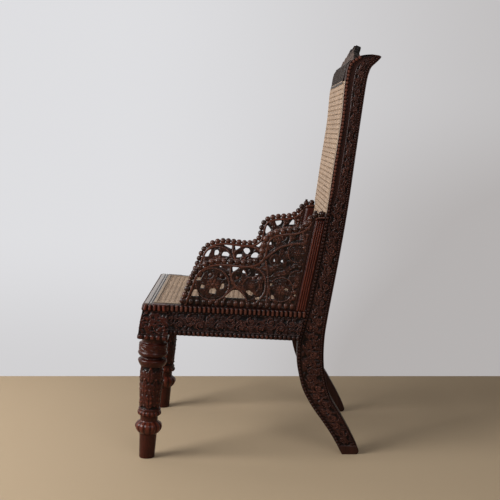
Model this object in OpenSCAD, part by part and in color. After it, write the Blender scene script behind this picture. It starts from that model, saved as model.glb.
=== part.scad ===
/* [Seat] */
// Height of the seat's front edge above the floor
seat_height = 411; // [390:1:430]
// Slope of the seat down to the rear, in degrees
seat_slope = 4; // [3:0.25:5]
// Width across the outer faces of the front leg blocks
seat_front_width = 522; // [490:1:550]
// Depth from the front edge of the seat to the rear posts
seat_depth = 417; // [395:1:440]
// Height of the seat rails
rail_height = 77; // [70:1:84]
// Thickness of the front seat rail
front_rail_thick = 32; // [30:1:36]
// Thickness of the side seat rails
side_rail_thick = 34; // [34:0.5:40]
// Thickness of the rear seat rail
rear_rail_thick = 32; // [28:1:36]
// How far the carved faces of the rails swell outwards at the bottom
rail_swell = 8; // [6:0.5:10]
// Height of the band of upright reeds along the top of the rails
band_height = 18; // [15:0.5:21]
// Radius of these reeds
rail_reed_radius = 5.8; // [5:0.1:6.2]
// Spacing of these reeds
rail_reed_pitch = 13.5; // [12.5:0.25:15]

/* [Front legs] */
// Half the width of the leg's square block at the seat
block_half = 28; // [26:0.5:31]
// How far the block swells on each side at its bottom
block_swell = 10; // [7:0.5:12]
// Height of the square block
block_height = 91; // [88:1:98]
// Radius of the foot where it meets the floor
foot_radius = 20; // [17:0.5:23]
// Radius of the foot just under the knob
ankle_radius = 22.5; // [20:0.5:25]
// Radius of the carved knob
knob_radius = 35.5; // [31:0.5:38]
// Radius of the lobes around the knob
lobe_radius = 10; // [8:0.5:12]
// Radius of the turned neck above the knob
neck_radius = 23; // [21:0.5:26]
// Radius of the shaft at its bottom
shaft_bottom_radius = 27.5; // [25:0.5:30]
// Radius of the shaft at its top
shaft_top_radius = 31; // [29:0.5:33]
// Radius of the turned rings above the shaft
ring_radius = 37.5; // [35:0.5:40]
// Radius of the groove between these rings
groove_radius = 27; // [25:0.5:30]

/* [Rear posts] */
// Height of the rear posts, from the floor to the top of the ears
post_height = 1037; // [985:1:1085]
// Thickness of each post across the chair
post_thick = 45; // [42:1:50]
// Width across the outer faces of the two posts
posts_width = 436; // [410:1:460]
// Width of the raised edges along the posts' outer faces
post_edge = 9; // [7:0.5:11]
// Depth of the carved field between these edges
field_depth = 1.6; // [1:0.1:2.5]

/* [Back] */
// Height of the lower back rail's bottom above the seat at the rear
back_gap = 62; // [50:1:75]
// Height of the lower back rail
lower_rail_height = 46; // [40:1:54]
// Thickness of the lower back rail
lower_rail_thick = 26; // [22:1:30]
// Distance from the crest rail's lower edge up to its top corner
crest_height = 60; // [55:1:64]
// Distance of the crest rail's top corner below the top of the posts
crest_drop = 11; // [8:1:14]
// Thickness of the crest rail
crest_thick = 27; // [25:1:30]
// How far the crest rail stands forward of the posts
crest_proud = 4; // [2:0.5:5]
// Height of the carved cresting at its centre
cresting_height = 56; // [50:1:62]
// Thickness of the carved cresting
cresting_thick = 20; // [17:0.5:22]
// Backward lean of the cresting, in degrees
cresting_lean = 22; // [18:1:26]

/* [Arms] */
// Height of the highest beads above the seat rail
arm_height = 254; // [235:1:270]
// Thickness of the pierced arm panels
arm_thick = 13; // [11:0.5:15]
// Inset of the arm panel's beads from the rail's outer face
arm_inset = 5; // [3:0.5:7]
// Diameter of the round beads along the edges
bead_size = 16; // [14:0.5:16.5]
// Spacing of the round beads
bead_pitch = 16.8; // [16.6:0.1:18]
// Width of the plain moulded band inside the beads
band_width = 7; // [6:0.5:9]
// Height of the row of upright beads under the panel
foot_row_height = 19; // [17:0.5:21]
// Spacing of the upright beads
foot_row_pitch = 18.5; // [17.5:0.5:20]
// Width of the stems in the scrollwork
stem_width = 8; // [6.5:0.5:9]
// Width of the reeded batten, along the chair
batten_width = 25; // [23:0.5:27]
// Thickness of the reeded batten, across the chair
batten_thick = 22; // [20:0.5:24]
// Radius of the reeds on the batten
reed_radius = 3.4; // [3:0.1:3.8]

/* [Cane] */
// Thickness of the woven cane
cane_thick = 2.4; // [2:0.1:3]
// How far the cane laps onto the wood around it
cane_lap = 10; // [8:0.5:12]
// Openings across the seat's cane, a plain grid in place of the fine weave
cane_openings = 11; // [8:1:12]
// Share of each step of this grid that is open
cane_open_share = 0.62; // [0.5:0.02:0.7]
// Width of the binding strip over the cane's edge
binding_width = 6.5; // [5:0.5:8]
// Thickness of the binding strip
binding_thick = 1.4; // [1:0.1:1.8]
// Depth of the back's cane behind the front of the posts
back_recess = 6; // [5:0.5:8]

/* [Joinery] */
// Thickness of the tenons
tenon_thick = 12; // [10:0.5:13]
// Height of the seat rails' tenons
tenon_height = 48; // [42:1:52]
// Length of the seat rails' tenons
tenon_length = 24; // [20:1:26]
// Length of the crest and lower back rails' tenons
back_tenon_length = 20; // [16:1:24]
// Clearance around a tenon or a dowel
joint_clear = 0.2; // [0.1:0.05:0.3]
// Radius of the pegs and dowels
peg_radius = 3.5; // [3:0.25:4]
// Length of each dowel
dowel_length = 26; // [22:1:30]

/* [Hidden] */
$fn = 48;
far = 400;
skin = 1;
slack = 0.3;
wood = [0.24, 0.1, 0.06];
wood_red = [0.34, 0.14, 0.08];
cane = [0.77, 0.67, 0.52];

// Places in the chair: the seat's front edge, and the point where a post meets the seat
seat_front_y = -282;
leg_x = seat_front_width / 2 - block_half;
leg_y = block_half;
leg_length = (seat_height - sin(seat_slope) * leg_y) / cos(seat_slope);
post_y = seat_front_y + seat_depth * cos(seat_slope);
post_z = seat_height - seat_depth * sin(seat_slope);
post_out = posts_width / 2;
post_in = post_out - post_thick;
stile_height = post_height - post_z;

// Corner of the side rails' outer face, and their angle in plan
side_x = seat_front_width / 2 + 2;
side_angle = atan((side_x - post_out) / seat_depth);

// A smooth curve through key points, as short straight steps
function at_end(p, i) = p[max(0, min(len(p) - 1, i))];
function blend(a, b, c, d, t) =
    0.5 * (2 * b + (c - a) * t + (2 * a - 5 * b + 4 * c - d) * t * t
           + (3 * b - a - 3 * c + d) * t * t * t);
function smooth(p, steps) = concat(
    [for (i = [0 : len(p) - 2]) for (s = [0 : steps - 1])
        blend(at_end(p, i - 1), p[i], p[i + 1], at_end(p, i + 2), s / steps)],
    [p[len(p) - 1]]);

// Key points of a post's edges: how far behind the joint with the seat, and the height
// as a share of the leg below the seat (negative) or of the stile above it (positive)
front_keys = [[96, -1], [72, -0.88], [45, -0.77], [16, -0.66], [-8, -0.54], [-21, -0.4],
              [-23, -0.28], [-19, -0.17], [0, 0], [14, 0.1], [33, 0.24], [52, 0.41],
              [66, 0.56], [77, 0.67], [85, 0.755], [90.5, 0.85], [94.5, 0.905],
              [100.5, 0.955], [108.5, 0.9755], [122, 0.9895], [134, 0.9962], [147, 0.9992],
              [160, 1]];
back_keys = [[134, -1], [140, -0.97], [119, -0.85], [92, -0.72], [66, -0.6], [51, -0.46],
             [46, -0.33], [48, -0.18], [55, -0.05], [63, 0.04], [86, 0.235], [105, 0.415],
             [121, 0.6], [135, 0.76], [145, 0.87], [149.5, 0.91], [153, 0.93],
             [159, 0.951], [170.5, 0.968], [180.5, 0.983], [183.5, 0.991], [178, 0.9962]];
function placed(k) = [for (p = k)
    [post_y + p[0], post_z + p[1] * (p[1] < 0 ? post_z : stile_height)]];
front_line = smooth(placed(front_keys), 3);
back_line = smooth(placed(back_keys), 3);
function front_y(z) = lookup(z, [for (p = front_line) [p[1], p[0]]]);

// A strip that follows the front of the posts from one height to another
function heights(z0, z1) = concat([z0],
    [for (p = front_line) if (p[1] > z0 + skin && p[1] < z1 - skin) p[1]], [z1]);
function strip(z0, z1, d0, d1) = let (h = heights(z0, z1)) concat(
    [for (z = h) [front_y(z) + d0, z]],
    [for (i = [len(h) - 1 : -1 : 0]) [front_y(h[i]) + d1, h[i]]]);

// Heights of the back's pieces
lower_z = post_z + back_gap;
lower_top = lower_z + lower_rail_height;
crest_top = post_height - crest_drop;
crest_z = crest_top - crest_height;
cane_low = lower_top - cane_lap;
cane_high = crest_z + cane_lap;

// Draws a shape, given as depth and height, across the chair between two places
module across(x0, x1) {
    translate([x0, 0, 0]) rotate([90, 0, 90]) linear_extrude(x1 - x0) children();
}
// The seat's own frame: y runs back along the seat, z stands square to it
module on_seat() {
    translate([0, seat_front_y, seat_height]) rotate([-seat_slope, 0, 0]) children();
}
// The side rail's own frame: x points out of the chair, y runs back along the rail
module on_side() {
    on_seat() translate([side_x, 0, 0]) rotate([0, 0, side_angle]) children();
}
// The cresting's own frame, at the front corner of the crest rail's top
module on_crest() {
    translate([0, front_y(crest_top) - crest_proud, crest_top])
        rotate([-cresting_lean, 0, 0]) children();
}
module box(low, high) {
    translate(low) cube(high - low);
}
module both() {
    children();
    mirror([1, 0, 0]) children();
}

// Places of the seat's joints, in the seat's frame
tenon_inset = 14;
tenon_low = -rail_height + (rail_height - tenon_height) / 2 - 2;
tenon_high = tenon_low + tenon_height;
front_tenon_y = 14;
rear_rail_y = seat_depth + 14;
rear_rail_height = rail_height - 15;
rear_tenon_y = rear_rail_y + 10;
rear_tenon_length = tenon_length - 5;
rear_peg_y = seat_depth + 8;
side_peg_z = -30;
cross_peg_z = -50;
peg_depth = 50;

// Tenons of the side rails, of the front rail and of the rear rail, grown by a clearance
module side_tenon(grow) {
    on_side() {
        box([-tenon_inset - tenon_thick / 2 - grow, 2 * block_half - tenon_length - grow,
             tenon_low - grow],
            [-tenon_inset + tenon_thick / 2 + grow, 2 * block_half + 30, tenon_high + grow]);
        box([-tenon_inset - tenon_thick / 2 - grow, seat_depth - 50, tenon_low - grow],
            [-tenon_inset + tenon_thick / 2 + grow, seat_depth + tenon_length + grow,
             tenon_high + grow]);
    }
}
module front_tenon(grow) {
    reach = leg_x - block_half + tenon_length + grow;
    on_seat() box([-reach, front_tenon_y - grow, tenon_low - grow],
                  [reach, front_tenon_y + tenon_thick + grow, tenon_high + grow]);
}
module rear_tenon(grow) {
    reach = post_in + rear_tenon_length + grow;
    on_seat() box([-reach, rear_tenon_y - grow, tenon_low + 6 - grow],
                  [reach, rear_tenon_y + tenon_thick + grow, tenon_high - 4 + grow]);
}
// Tenons of the crest rail and of the lower back rail
back_tenon_thick = 10;
back_shoulder = 5;
crest_tenon_drop = 20;
module crest_tenon(grow) {
    reach = post_in + back_tenon_length + grow;
    high = crest_top - crest_tenon_drop;
    y = front_y(high) + back_shoulder;
    box([-reach, y - grow, crest_z + cane_lap + 2 - grow],
        [reach, y + back_tenon_thick + grow, high + grow]);
}
module lower_tenon(grow) {
    reach = post_in + back_tenon_length + grow;
    y = front_y(lower_top) + 2;
    box([-reach, y - grow, lower_z + back_shoulder - grow],
        [reach, y + back_tenon_thick + grow, lower_top - cane_lap - 3 + grow]);
}
// Pegs through the tenons, driven from the inside and from the back
module pegs(grow) {
    on_seat() both() {
        translate([leg_x - block_half - 4, 2 * block_half - tenon_length / 2 + 2, side_peg_z])
            rotate([0, 90, 0]) cylinder(h = peg_depth + grow, r = peg_radius + grow);
        translate([leg_x - block_half + tenon_length / 2, 2 * block_half + 4, cross_peg_z])
            rotate([90, 0, 0]) cylinder(h = peg_depth + grow, r = peg_radius + grow);
        translate([post_in + 0.5, rear_peg_y, side_peg_z])
            rotate([0, 90, 0]) cylinder(h = post_thick - 7 + grow, r = peg_radius + grow);
    }
}
module peg_holes() {
    pegs(joint_clear / 2);
    on_seat() both() {
        translate([leg_x - block_half - 24, 2 * block_half - tenon_length / 2 + 2, side_peg_z])
            rotate([0, 90, 0]) cylinder(h = 30, r = peg_radius + joint_clear / 2);
        translate([leg_x - block_half + tenon_length / 2, 2 * block_half + 24, cross_peg_z])
            rotate([90, 0, 0]) cylinder(h = 30, r = peg_radius + joint_clear / 2);
        translate([post_in - 10, rear_peg_y, side_peg_z])
            rotate([0, 90, 0]) cylinder(h = 20, r = peg_radius + joint_clear / 2);
    }
}

// Outline of the seat's cane, grown by an amount; its rear tongue lies between the posts
module seat_shape(grow) {
    y0 = front_rail_thick - cane_lap;
    y1 = seat_depth - 3;
    y2 = rear_rail_y + cane_lap;
    x0 = side_x - (side_rail_thick - cane_lap) - y0 * tan(side_angle);
    x1 = side_x - (side_rail_thick - cane_lap) - y1 * tan(side_angle);
    x2 = post_in - 1;
    offset(delta = grow) polygon([[-x0, y0], [x0, y0], [x1, y1], [x2, y1], [x2, y2],
                                  [-x2, y2], [-x2, y1], [-x1, y1]]);
}
module seat_pocket() {
    on_seat() translate([0, 0, -cane_thick]) linear_extrude(20) seat_shape(slack);
}
module back_pocket() {
    reach = post_in + cane_lap + slack;
    across(-reach, reach) polygon(strip(cane_low - slack, cane_high + slack,
                                        -20, back_recess + cane_thick));
}

// Front legs
function swell(z) = block_swell * sin(90 * min(1, -z / block_height));
function bulge(z0, z1, r, d) =
    [for (a = [0 : 20 : 180]) [r + d * sin(a), (z0 + z1) / 2 - (z1 - z0) / 2 * cos(a)]];
block_steps = 8;
module block_side(above = 0) {
    z = [for (i = [0 : block_steps]) -block_height * i / block_steps];
    polygon(concat([[-block_half, above], [block_half, above]],
        [for (h = z) [block_half + swell(h), h]],
        [for (i = [block_steps : -1 : 0]) [-block_half - swell(z[i]), z[i]]]));
}
// Radius and height of the turning, with heights from the floor on a leg of this length
turned_nominal = 319;
turning = concat(
    [[0, -12], [foot_radius, -12], [foot_radius, 0], [ankle_radius, 64]],
    bulge(65, 97, ankle_radius + 1, knob_radius - ankle_radius - 4),
    [[neck_radius, 98], [neck_radius, 112], [neck_radius + 2, 114.5]],
    bulge(115, 126, shaft_bottom_radius - 0.5, 3),
    [[shaft_bottom_radius + 1, 131], [shaft_bottom_radius, 133],
     [shaft_bottom_radius + 0.5, 160], [(shaft_bottom_radius + shaft_top_radius) / 2 + 1, 205],
     [shaft_top_radius - 0.5, 243]],
    // The lower ring, the groove and the upper ring with its lip
    [[ring_radius - 3.5, 250], [ring_radius - 0.5, 257], [ring_radius - 0.5, 260.5],
     [ring_radius - 2, 263.5], [groove_radius, 264.5], [groove_radius, 270.5],
     [ring_radius - 4, 271.5], [ring_radius - 1, 275], [ring_radius + 1, 279.5],
     [ring_radius, 282.5], [ring_radius - 0.3, 302], [ring_radius - 1.5, 304.5],
     [shaft_top_radius - 1, 305.5], [shaft_top_radius - 1, 321], [0, 321]]);
turning_scale = (leg_length - block_height) / turned_nominal;
lobe_count = 13;
lobe_z = 84;
// The reeds on one face of the block, leaning with its swell
module block_reeds() {
    lean = atan(swell(-band_height) / band_height);
    translate([block_half, 0, 0]) rotate([0, -lean, 0])
        reeds(-block_half + 0.5, block_half - 0.5, band_height);
    low = block_half + block_swell;
    translate([low - 1, 0, low_band - block_height]) reeds(-low + 2, low - 2, low_band);
}
module leg_blank() {
    on_seat() translate([leg_x, leg_y, 0]) {
        intersection() {
            across(-far, far) block_side();
            rotate([0, 0, 90]) across(-far, far) block_side();
        }
        block_reeds();
        rotate([0, 0, -90]) block_reeds();
        for (i = [0 : lobe_count - 1]) rotate([0, 0, i * 360 / lobe_count])
            translate([knob_radius - lobe_radius, 0, lobe_z * turning_scale - leg_length])
                sphere(lobe_radius, $fn = 24);
        translate([0, 0, -leg_length]) rotate_extrude()
            polygon([for (p = turning) [p[0], p[1] * turning_scale]]);
    }
}
module front_leg() {
    color(wood) difference() {
        leg_blank();
        box([0, -far, -40], [far, 0, 0]);
        side_tenon(joint_clear);
        front_tenon(joint_clear);
        peg_holes();
        seat_pocket();
    }
}

// Rear posts, each a sabre leg and a rolled-back stile in one piece
module post_side() {
    polygon(concat(front_line, [for (i = [len(back_line) - 1 : -1 : 0]) back_line[i]]));
}
// Everything behind the front of the posts
module behind_posts() {
    across(-far, far) polygon(concat(front_line, [[far + post_y, post_height],
                                                  [far + post_y, 0]]));
}
// The carved field on a post's outer face, with a plain shoe left at the foot
shoe_height = 24;
module post_field() {
    across(post_out - field_depth, post_out + skin) difference() {
        offset(delta = -post_edge) post_side();
        square([far, shoe_height]);
    }
}
module rear_post() {
    color(wood) difference() {
        across(post_in, post_out) post_side();
        post_field();
        side_tenon(joint_clear);
        rear_tenon(joint_clear);
        crest_tenon(joint_clear);
        lower_tenon(joint_clear);
        back_pocket();
        peg_holes();
        batten_pins(joint_clear / 2);
    }
}

// Seat rails
face_steps = 7;
function face(thick) = concat([[-thick, 0], [0, 0]],
    [for (i = [0 : face_steps]) let (t = i / face_steps)
        [rail_swell * sin(90 * t), -band_height - (rail_height - band_height - 5) * t]],
    [[rail_swell - 2, -rail_height], [-thick, -rail_height]]);
// Upright reeds in a row along y, each with its top at 0, a rounded bottom and most of it
// sunk in the wood behind
reed_sunk = 2.4;
low_band = 13;
module reed(h) {
    r = rail_reed_radius;
    rotate_extrude($fn = 24)
        polygon([[0, 0], [r, 0], [r, r - h], [r * 0.8, r * 0.4 - h], [r * 0.4, r * 0.1 - h], [0, -h]]);
}
module reeds(y0, y1, h) {
    gaps = round((y1 - y0 - rail_reed_pitch) / rail_reed_pitch);
    step = (y1 - y0) / (gaps + 1);
    for (i = [0 : gaps]) translate([-reed_sunk, y0 + step * (i + 0.5), 0]) reed(h);
}
// The two bands of reeds on a rail's face
module rail_reeds(y0, y1) {
    reeds(y0, y1, band_height);
    translate([rail_swell - 1.5, 0, low_band - rail_height]) reeds(y0, y1, low_band);
}
module blocks_clear() {
    on_seat() translate([0, leg_y, 0]) across(-far, far) block_side(skin);
}
module side_rail() {
    color(wood) difference() {
        union() {
            difference() {
                on_side() {
                    translate([0, seat_depth + 40, 0]) rotate([90, 0, 0])
                        linear_extrude(seat_depth + 40 - leg_y) polygon(face(side_rail_thick));
                    rail_reeds(2 * block_half + block_swell, seat_depth + 1);
                }
                blocks_clear();
                behind_posts();
            }
            side_tenon(0);
        }
        peg_holes();
        seat_pocket();
        arm_pins(joint_clear / 2);
    }
}
module front_rail() {
    color(wood) difference() {
        union() {
            difference() {
                on_seat() {
                    translate([-leg_x, 0, 0]) rotate([90, 0, 90])
                        linear_extrude(2 * leg_x)
                        polygon([for (p = face(front_rail_thick)) [-p[0], p[1]]]);
                    rotate([0, 0, -90]) rail_reeds(block_half + block_swell - leg_x,
                                                   leg_x - block_half - block_swell);
                }
                on_seat() both() translate([leg_x, 0, 0]) rotate([0, 0, 90])
                    across(-far, far) block_side(skin);
            }
            front_tenon(0);
        }
        peg_holes();
        seat_pocket();
    }
}
module rear_rail() {
    color(wood) difference() {
        union() {
            on_seat() box([-post_in, rear_rail_y, -rear_rail_height],
                          [post_in, rear_rail_y + rear_rail_thick, 0]);
            rear_tenon(0);
        }
        seat_pocket();
    }
}

// Crest rail and lower back rail, between the posts
module crest_rail() {
    h = heights(crest_z, crest_top);
    top = [front_y(crest_top) - crest_proud, crest_top];
    color(wood) difference() {
        union() {
            across(-post_in, post_in) polygon(concat(
                [for (z = h) [front_y(z) - crest_proud, z]],
                [top + crest_thick * [cos(cresting_lean), -sin(cresting_lean)],
                 [front_y(crest_z) - crest_proud + crest_thick, crest_z]]));
            crest_tenon(0);
        }
        back_pocket();
        cresting_pins(joint_clear / 2);
    }
}
module lower_back_rail() {
    color(wood) difference() {
        union() {
            across(-post_in, post_in) polygon(strip(lower_z, lower_top, 0, lower_rail_thick));
            lower_tenon(0);
        }
        back_pocket();
    }
}

// Scrollwork: a ribbon along a list of points, wide as a list of widths
function side_step(p, i) = let (d = at_end(p, i + 1) - at_end(p, i - 1))
    [-d[1], d[0]] / norm(d);
module ribbon(p, w) {
    n = len(p) - 1;
    polygon(concat([for (i = [0 : n]) p[i] + side_step(p, i) * w[i] / 2],
                   [for (i = [n : -1 : 0]) p[i] - side_step(p, i) * w[i] / 2]));
}
// A scroll: centre, outer and inner radius, first and last angle
scroll_steps = 18;
module scroll(at, r0, r1, a0, a1, width = stem_width) {
    t = [for (i = [0 : scroll_steps]) i / scroll_steps];
    p = [for (s = t) let (r = r0 + (r1 - r0) * s * s, a = a0 + (a1 - a0) * s)
        at + r * [cos(a), sin(a)]];
    ribbon(p, [for (s = t) width * (1 - 0.35 * s)]);
    translate(p[scroll_steps]) circle(width * 0.62, $fn = 12);
}
// A pointed leaf with scalloped edges: root, heading, length, width and how far it bends
leaf_steps = 8;
function leaf_turn(heading, bend, i) = heading + bend * i / leaf_steps;
function leaf_line(root, heading, length, bend) =
    [for (i = 0, p = root; i <= leaf_steps;
        p = p + length / leaf_steps * [cos(leaf_turn(heading, bend, i)),
                                       sin(leaf_turn(heading, bend, i))], i = i + 1) p];
function leaf_width(width, t) =
    1.5 + width * sin(180 * pow(t, 0.8)) * (0.82 + 0.18 * abs(sin(180 * 4 * t)));
module leaf(root, heading, length, width, bend) {
    ribbon(leaf_line(root, heading, length, bend),
           [for (i = [0 : leaf_steps]) leaf_width(width, i / leaf_steps)]);
}
module rosette(at, r) {
    translate(at) {
        circle(r * 0.5, $fn = 12);
        for (a = [0 : 60 : 300]) rotate(a) translate([r * 0.6, 0]) circle(r * 0.34, $fn = 8);
    }
}

// The arm is drawn on a grid of these units, which the seat's depth and its own height fill
arm_grid = [417, 254];
arm_fit = [seat_depth / arm_grid[0], arm_height / arm_grid[1]];
// Centres of the beads along its edge, as length along the rail and height
drawn_edge = [[99, 11], [106, 32], [114, 58], [122, 80], [134, 97], [156, 111], [184, 118],
             [218, 118], [252, 117], [276, 121], [291, 133], [296, 152], [299, 172],
             [307, 188], [323, 199], [348, 205], [376, 209], [396, 217], [408, 231],
             [417, 244], [429, 252], [442, 254]];
edge_keys = [for (k = drawn_edge) [k[0] * arm_fit[0], k[1] * arm_fit[1]]];
arm_top = arm_height + 150;
// How far the arm's outline runs on behind the posts and below the rail
reach_back = 90;
reach_down = -40;
behind_batten = 60;
edge = smooth(edge_keys, 3);
edge_length = [for (i = 0, s = 0; i < len(edge);
    s = s + (i < len(edge) - 1 ? norm(edge[i + 1] - edge[i]) : 0), i = i + 1) s];
bead_count = floor(edge_length[len(edge) - 1] / bead_pitch);
function edge_at(s) = [lookup(s, [for (i = [0 : len(edge) - 1]) [edge_length[i], edge[i][0]]]),
                       lookup(s, [for (i = [0 : len(edge) - 1]) [edge_length[i], edge[i][1]]])];
arm_x = -arm_inset - bead_size / 2;

// The reeded batten: its front edge leans with the post
batten_top = arm_height - bead_size;
batten_lean = 0.143;
function batten_front(w) = seat_depth - batten_width + batten_lean * w;
module batten_side() {
    polygon([[batten_front(0), 0], [seat_depth + behind_batten, 0],
             [seat_depth + reach_back, batten_top],
             [batten_front(batten_top), batten_top]]);
}
module arm_region() {
    polygon([[0, 0], [batten_front(0), 0], [batten_front(batten_top), batten_top],
             [batten_front(batten_top) + behind_batten, batten_top],
             [seat_depth + behind_batten, arm_top],
             [0, arm_top]]);
}
arm_field_front = 9;
module arm_field() {
    polygon(concat([edge_keys[0] - [arm_field_front, -reach_down]], edge,
                   [[seat_depth + reach_back, arm_height], [seat_depth + reach_back, reach_down]]));
}
// A spray of three leaves from one root
module spray(root, heading, length, width) {
    for (side = [-1, 0, 1])
        leaf(root, heading + side * 42, length * (side == 0 ? 1 : 0.8), width, side * 30);
}
// A ring round a flower, with leaves as its spokes
module wheel(at, r, width, first, petals) {
    scroll(at, r, r * 0.95, first, first + 352, width);
    for (k = [0 : petals - 1])
        leaf(at, first + 20 + 360 * k / petals, r, r * 0.5, k % 2 == 0 ? 30 : -30);
    rosette(at, r * 0.36);
}
module scrollwork() {
    // The large scroll in front and the smaller ones that climb behind it, each with a flower
    wheel([172, 57], 43, 8.5, -70, 7);
    wheel([272, 60], 22, 6, 40, 6);
    wheel([350, 52], 32, 7, 0, 6);
    wheel([386, 150], 25, 7, 30, 6);
    wheel([331, 128], 15, 5, 90, 5);
    wheel([389, 84], 20, 6, 20, 5);
    // The stems: upright, forked at the foot, and sweeping up to the post
    ribbon([[216, 114], [216, 100], [216, 84]], [9, 6.5, 10]);
    ribbon(smooth([[204, 16], [214, 38], [228, 52]], 2), [8, 8.5, 9, 10.5, 12]);
    sweep = [[264, 16], [254, 36], [238, 50], [224, 66], [219, 82], [230, 97], [250, 107],
             [272, 107], [291, 100], [304, 86], [309, 66], [308, 44], [300, 30], [290, 16]];
    sweep_line = smooth(sweep, 2);
    ribbon(sweep_line, [for (i = [0 : len(sweep_line) - 1])
        lookup(i / 2, [[0, 8], [1, 9], [2, 13], [3, 10], [4, 8], [13, 8]])]);
    ribbon([[314, 14], [315, 40], [315, 70], [311, 100], [306, 122]], [9, 7, 7, 8, 12]);
    ribbon([[304, 132], [318, 145], [336, 160], [354, 168], [376, 174], [404, 176]],
           [12, 9, 9, 9, 9, 12]);
    ribbon([[404, 178], [398, 190], [396, 206]], [8, 7, 8]);
    ribbon([[362, 174], [366, 186], [362, 204]], [7, 8, 10]);
    // Leaves that spring from the stems: root, heading, length, width and bend
    for (l = [[[280, 108], -4, 74, 17, 6], [[117, 18], 92, 46, 12, -70],
              [[126, 60], 70, 44, 10, -50], [[228, 52], 100, 34, 15, 20],
              [[236, 56], 40, 40, 15, 20], [[232, 54], -10, 34, 13, 30],
              [[296, 60], 84, 34, 12, -30], [[300, 44], 110, 30, 11, -40],
              [[240, 52], 0, 30, 12, -60], [[250, 64], 80, 26, 10, 40],
              [[292, 34], 150, 30, 11, -40], [[322, 84], 30, 62, 15, -40],
              [[318, 96], 60, 40, 13, -60], [[344, 92], 20, 40, 14, 40],
              [[318, 44], 80, 30, 10, 30], [[318, 18], 60, 30, 11, -40],
              [[344, 16], 130, 26, 11, 40], [[372, 18], 60, 34, 12, 50],
              [[396, 20], 100, 44, 12, -20], [[382, 56], 70, 40, 13, -40],
              [[404, 96], 96, 48, 15, 16], [[360, 100], 50, 40, 14, -40],
              [[356, 112], 90, 34, 12, 40], [[340, 138], 60, 30, 12, 40],
              [[362, 132], 100, 36, 12, -30], [[318, 150], 100, 20, 8, -30],
              [[322, 176], 60, 28, 12, -50], [[330, 166], 60, 30, 11, 30],
              [[366, 180], 60, 30, 12, 20], [[410, 130], 92, 50, 14, 10],
              [[402, 176], 80, 40, 14, 20], [[296, 128], 60, 30, 10, 40]])
        leaf(l[0], l[1], l[2], l[3], l[4]);
}
// Openings pierced through the panel, each by its corners on the arm's grid
arm_openings = [
    [[119, 24], [140, 24], [133, 43], [125, 41]],
    [[128, 65], [141, 66], [150, 90], [138, 83]],
    [[159, 71], [171, 74], [174, 83], [169, 90], [160, 86]],
    [[181, 72], [203, 71], [206, 78], [199, 85], [186, 84]],
    [[142, 46], [151, 45], [153, 54], [144, 56]],
    [[164, 34], [181, 32], [184, 41], [179, 48], [167, 46]],
    [[191, 44], [202, 48], [203, 60], [196, 62]],
    [[182, 107], [212, 108], [211, 94], [197, 99]],
    [[220, 108], [241, 108], [233, 98], [223, 92]],
    [[204, 24], [260, 24], [250, 37], [239, 46], [226, 46], [214, 36]],
    [[226, 70], [237, 71], [244, 76], [243, 82], [229, 80]],
    [[246, 95], [253, 102], [264, 101], [268, 93], [260, 82], [253, 84]],
    [[270, 74], [281, 73], [293, 76], [296, 83], [290, 90], [282, 91], [273, 83]],
    [[259, 45], [268, 47], [280, 39], [277, 32], [266, 35]],
    [[283, 23], [296, 22], [296, 30], [287, 31]],
    [[284, 110], [292, 107], [303, 120], [299, 126], [290, 119]],
    [[321, 60], [327, 61], [327, 71], [321, 70]],
    [[340, 66], [349, 68], [348, 79], [342, 77]],
    [[361, 70], [369, 64], [374, 68], [366, 77]],
    [[358, 51], [371, 50], [368, 57], [360, 57]],
    [[321, 118], [331, 117], [328, 133], [322, 132]],
    [[343, 122], [351, 123], [350, 131], [345, 130]],
    [[370, 112], [377, 116], [379, 126], [373, 122]],
    [[307, 172], [314, 180], [319, 173], [331, 166], [322, 156], [311, 149], [308, 158]],
    [[336, 191], [352, 195], [357, 192], [353, 182], [343, 176], [339, 182]],
    [[377, 182], [383, 191], [389, 200], [394, 197], [394, 184]],
    [[351, 149], [359, 148], [359, 157], [352, 158]],
    [[325, 27], [336, 25], [333, 35], [326, 38]],
    [[385, 29], [393, 25], [391, 43], [385, 42]],
    [[393, 100], [401, 104], [400, 116], [394, 112]]
];
opening_corner = 1.4;
module openings(grow) {
    for (o = arm_openings)
        offset(r = opening_corner + grow, $fn = 8) offset(delta = -opening_corner)
            scale(arm_fit) polygon(o);
}
fillet = 0.9;
bead_sink = 2.5;
column_width = 7;
arm_inner = bead_size / 2 - bead_sink;
module arm_foot() {
    translate([edge_keys[0][0] - 4, 0]) square([far, foot_row_height]);
}
// The ground between the scrolls and leaves is sunk below their faces, and stops short of them
ground_sink = 2;
ground_short = 1;
module arm_ground() {
    difference() {
        offset(delta = -ground_short) intersection() {
            arm_region();
            union() {
                offset(r = -arm_inner) arm_field();
                arm_foot();
            }
        }
        openings(0);
    }
}
opening_rim = 0.7;
module arm_raised() {
    offset(delta = -fillet) offset(delta = fillet) intersection() {
        arm_region();
        union() {
            difference() {
                offset(r = -arm_inner) arm_field();
                offset(r = -arm_inner - band_width) arm_field();
            }
            difference() {
                intersection() {
                    offset(r = -arm_inner) arm_field();
                    scale(arm_fit) scrollwork();
                }
                openings(opening_rim);
            }
            arm_foot();
            polygon([[batten_front(0) - column_width, 0], [batten_front(0), 0],
                     [batten_front(batten_top), batten_top],
                     [batten_front(batten_top) - column_width, batten_top]]);
        }
    }
}
upright_bead_radius = 8.2;
module upright_bead() {
    h = foot_row_height;
    end = upright_bead_radius * 0.67;
    near_end = upright_bead_radius * 0.93;
    rotate_extrude($fn = 24) polygon([[0, 0], [end, 0], [near_end, h * 0.25],
                                      [upright_bead_radius, h * 0.5], [near_end, h * 0.75],
                                      [end, h], [0, h]]);
}
bead_margin = 9;
column_inset = 12;
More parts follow.
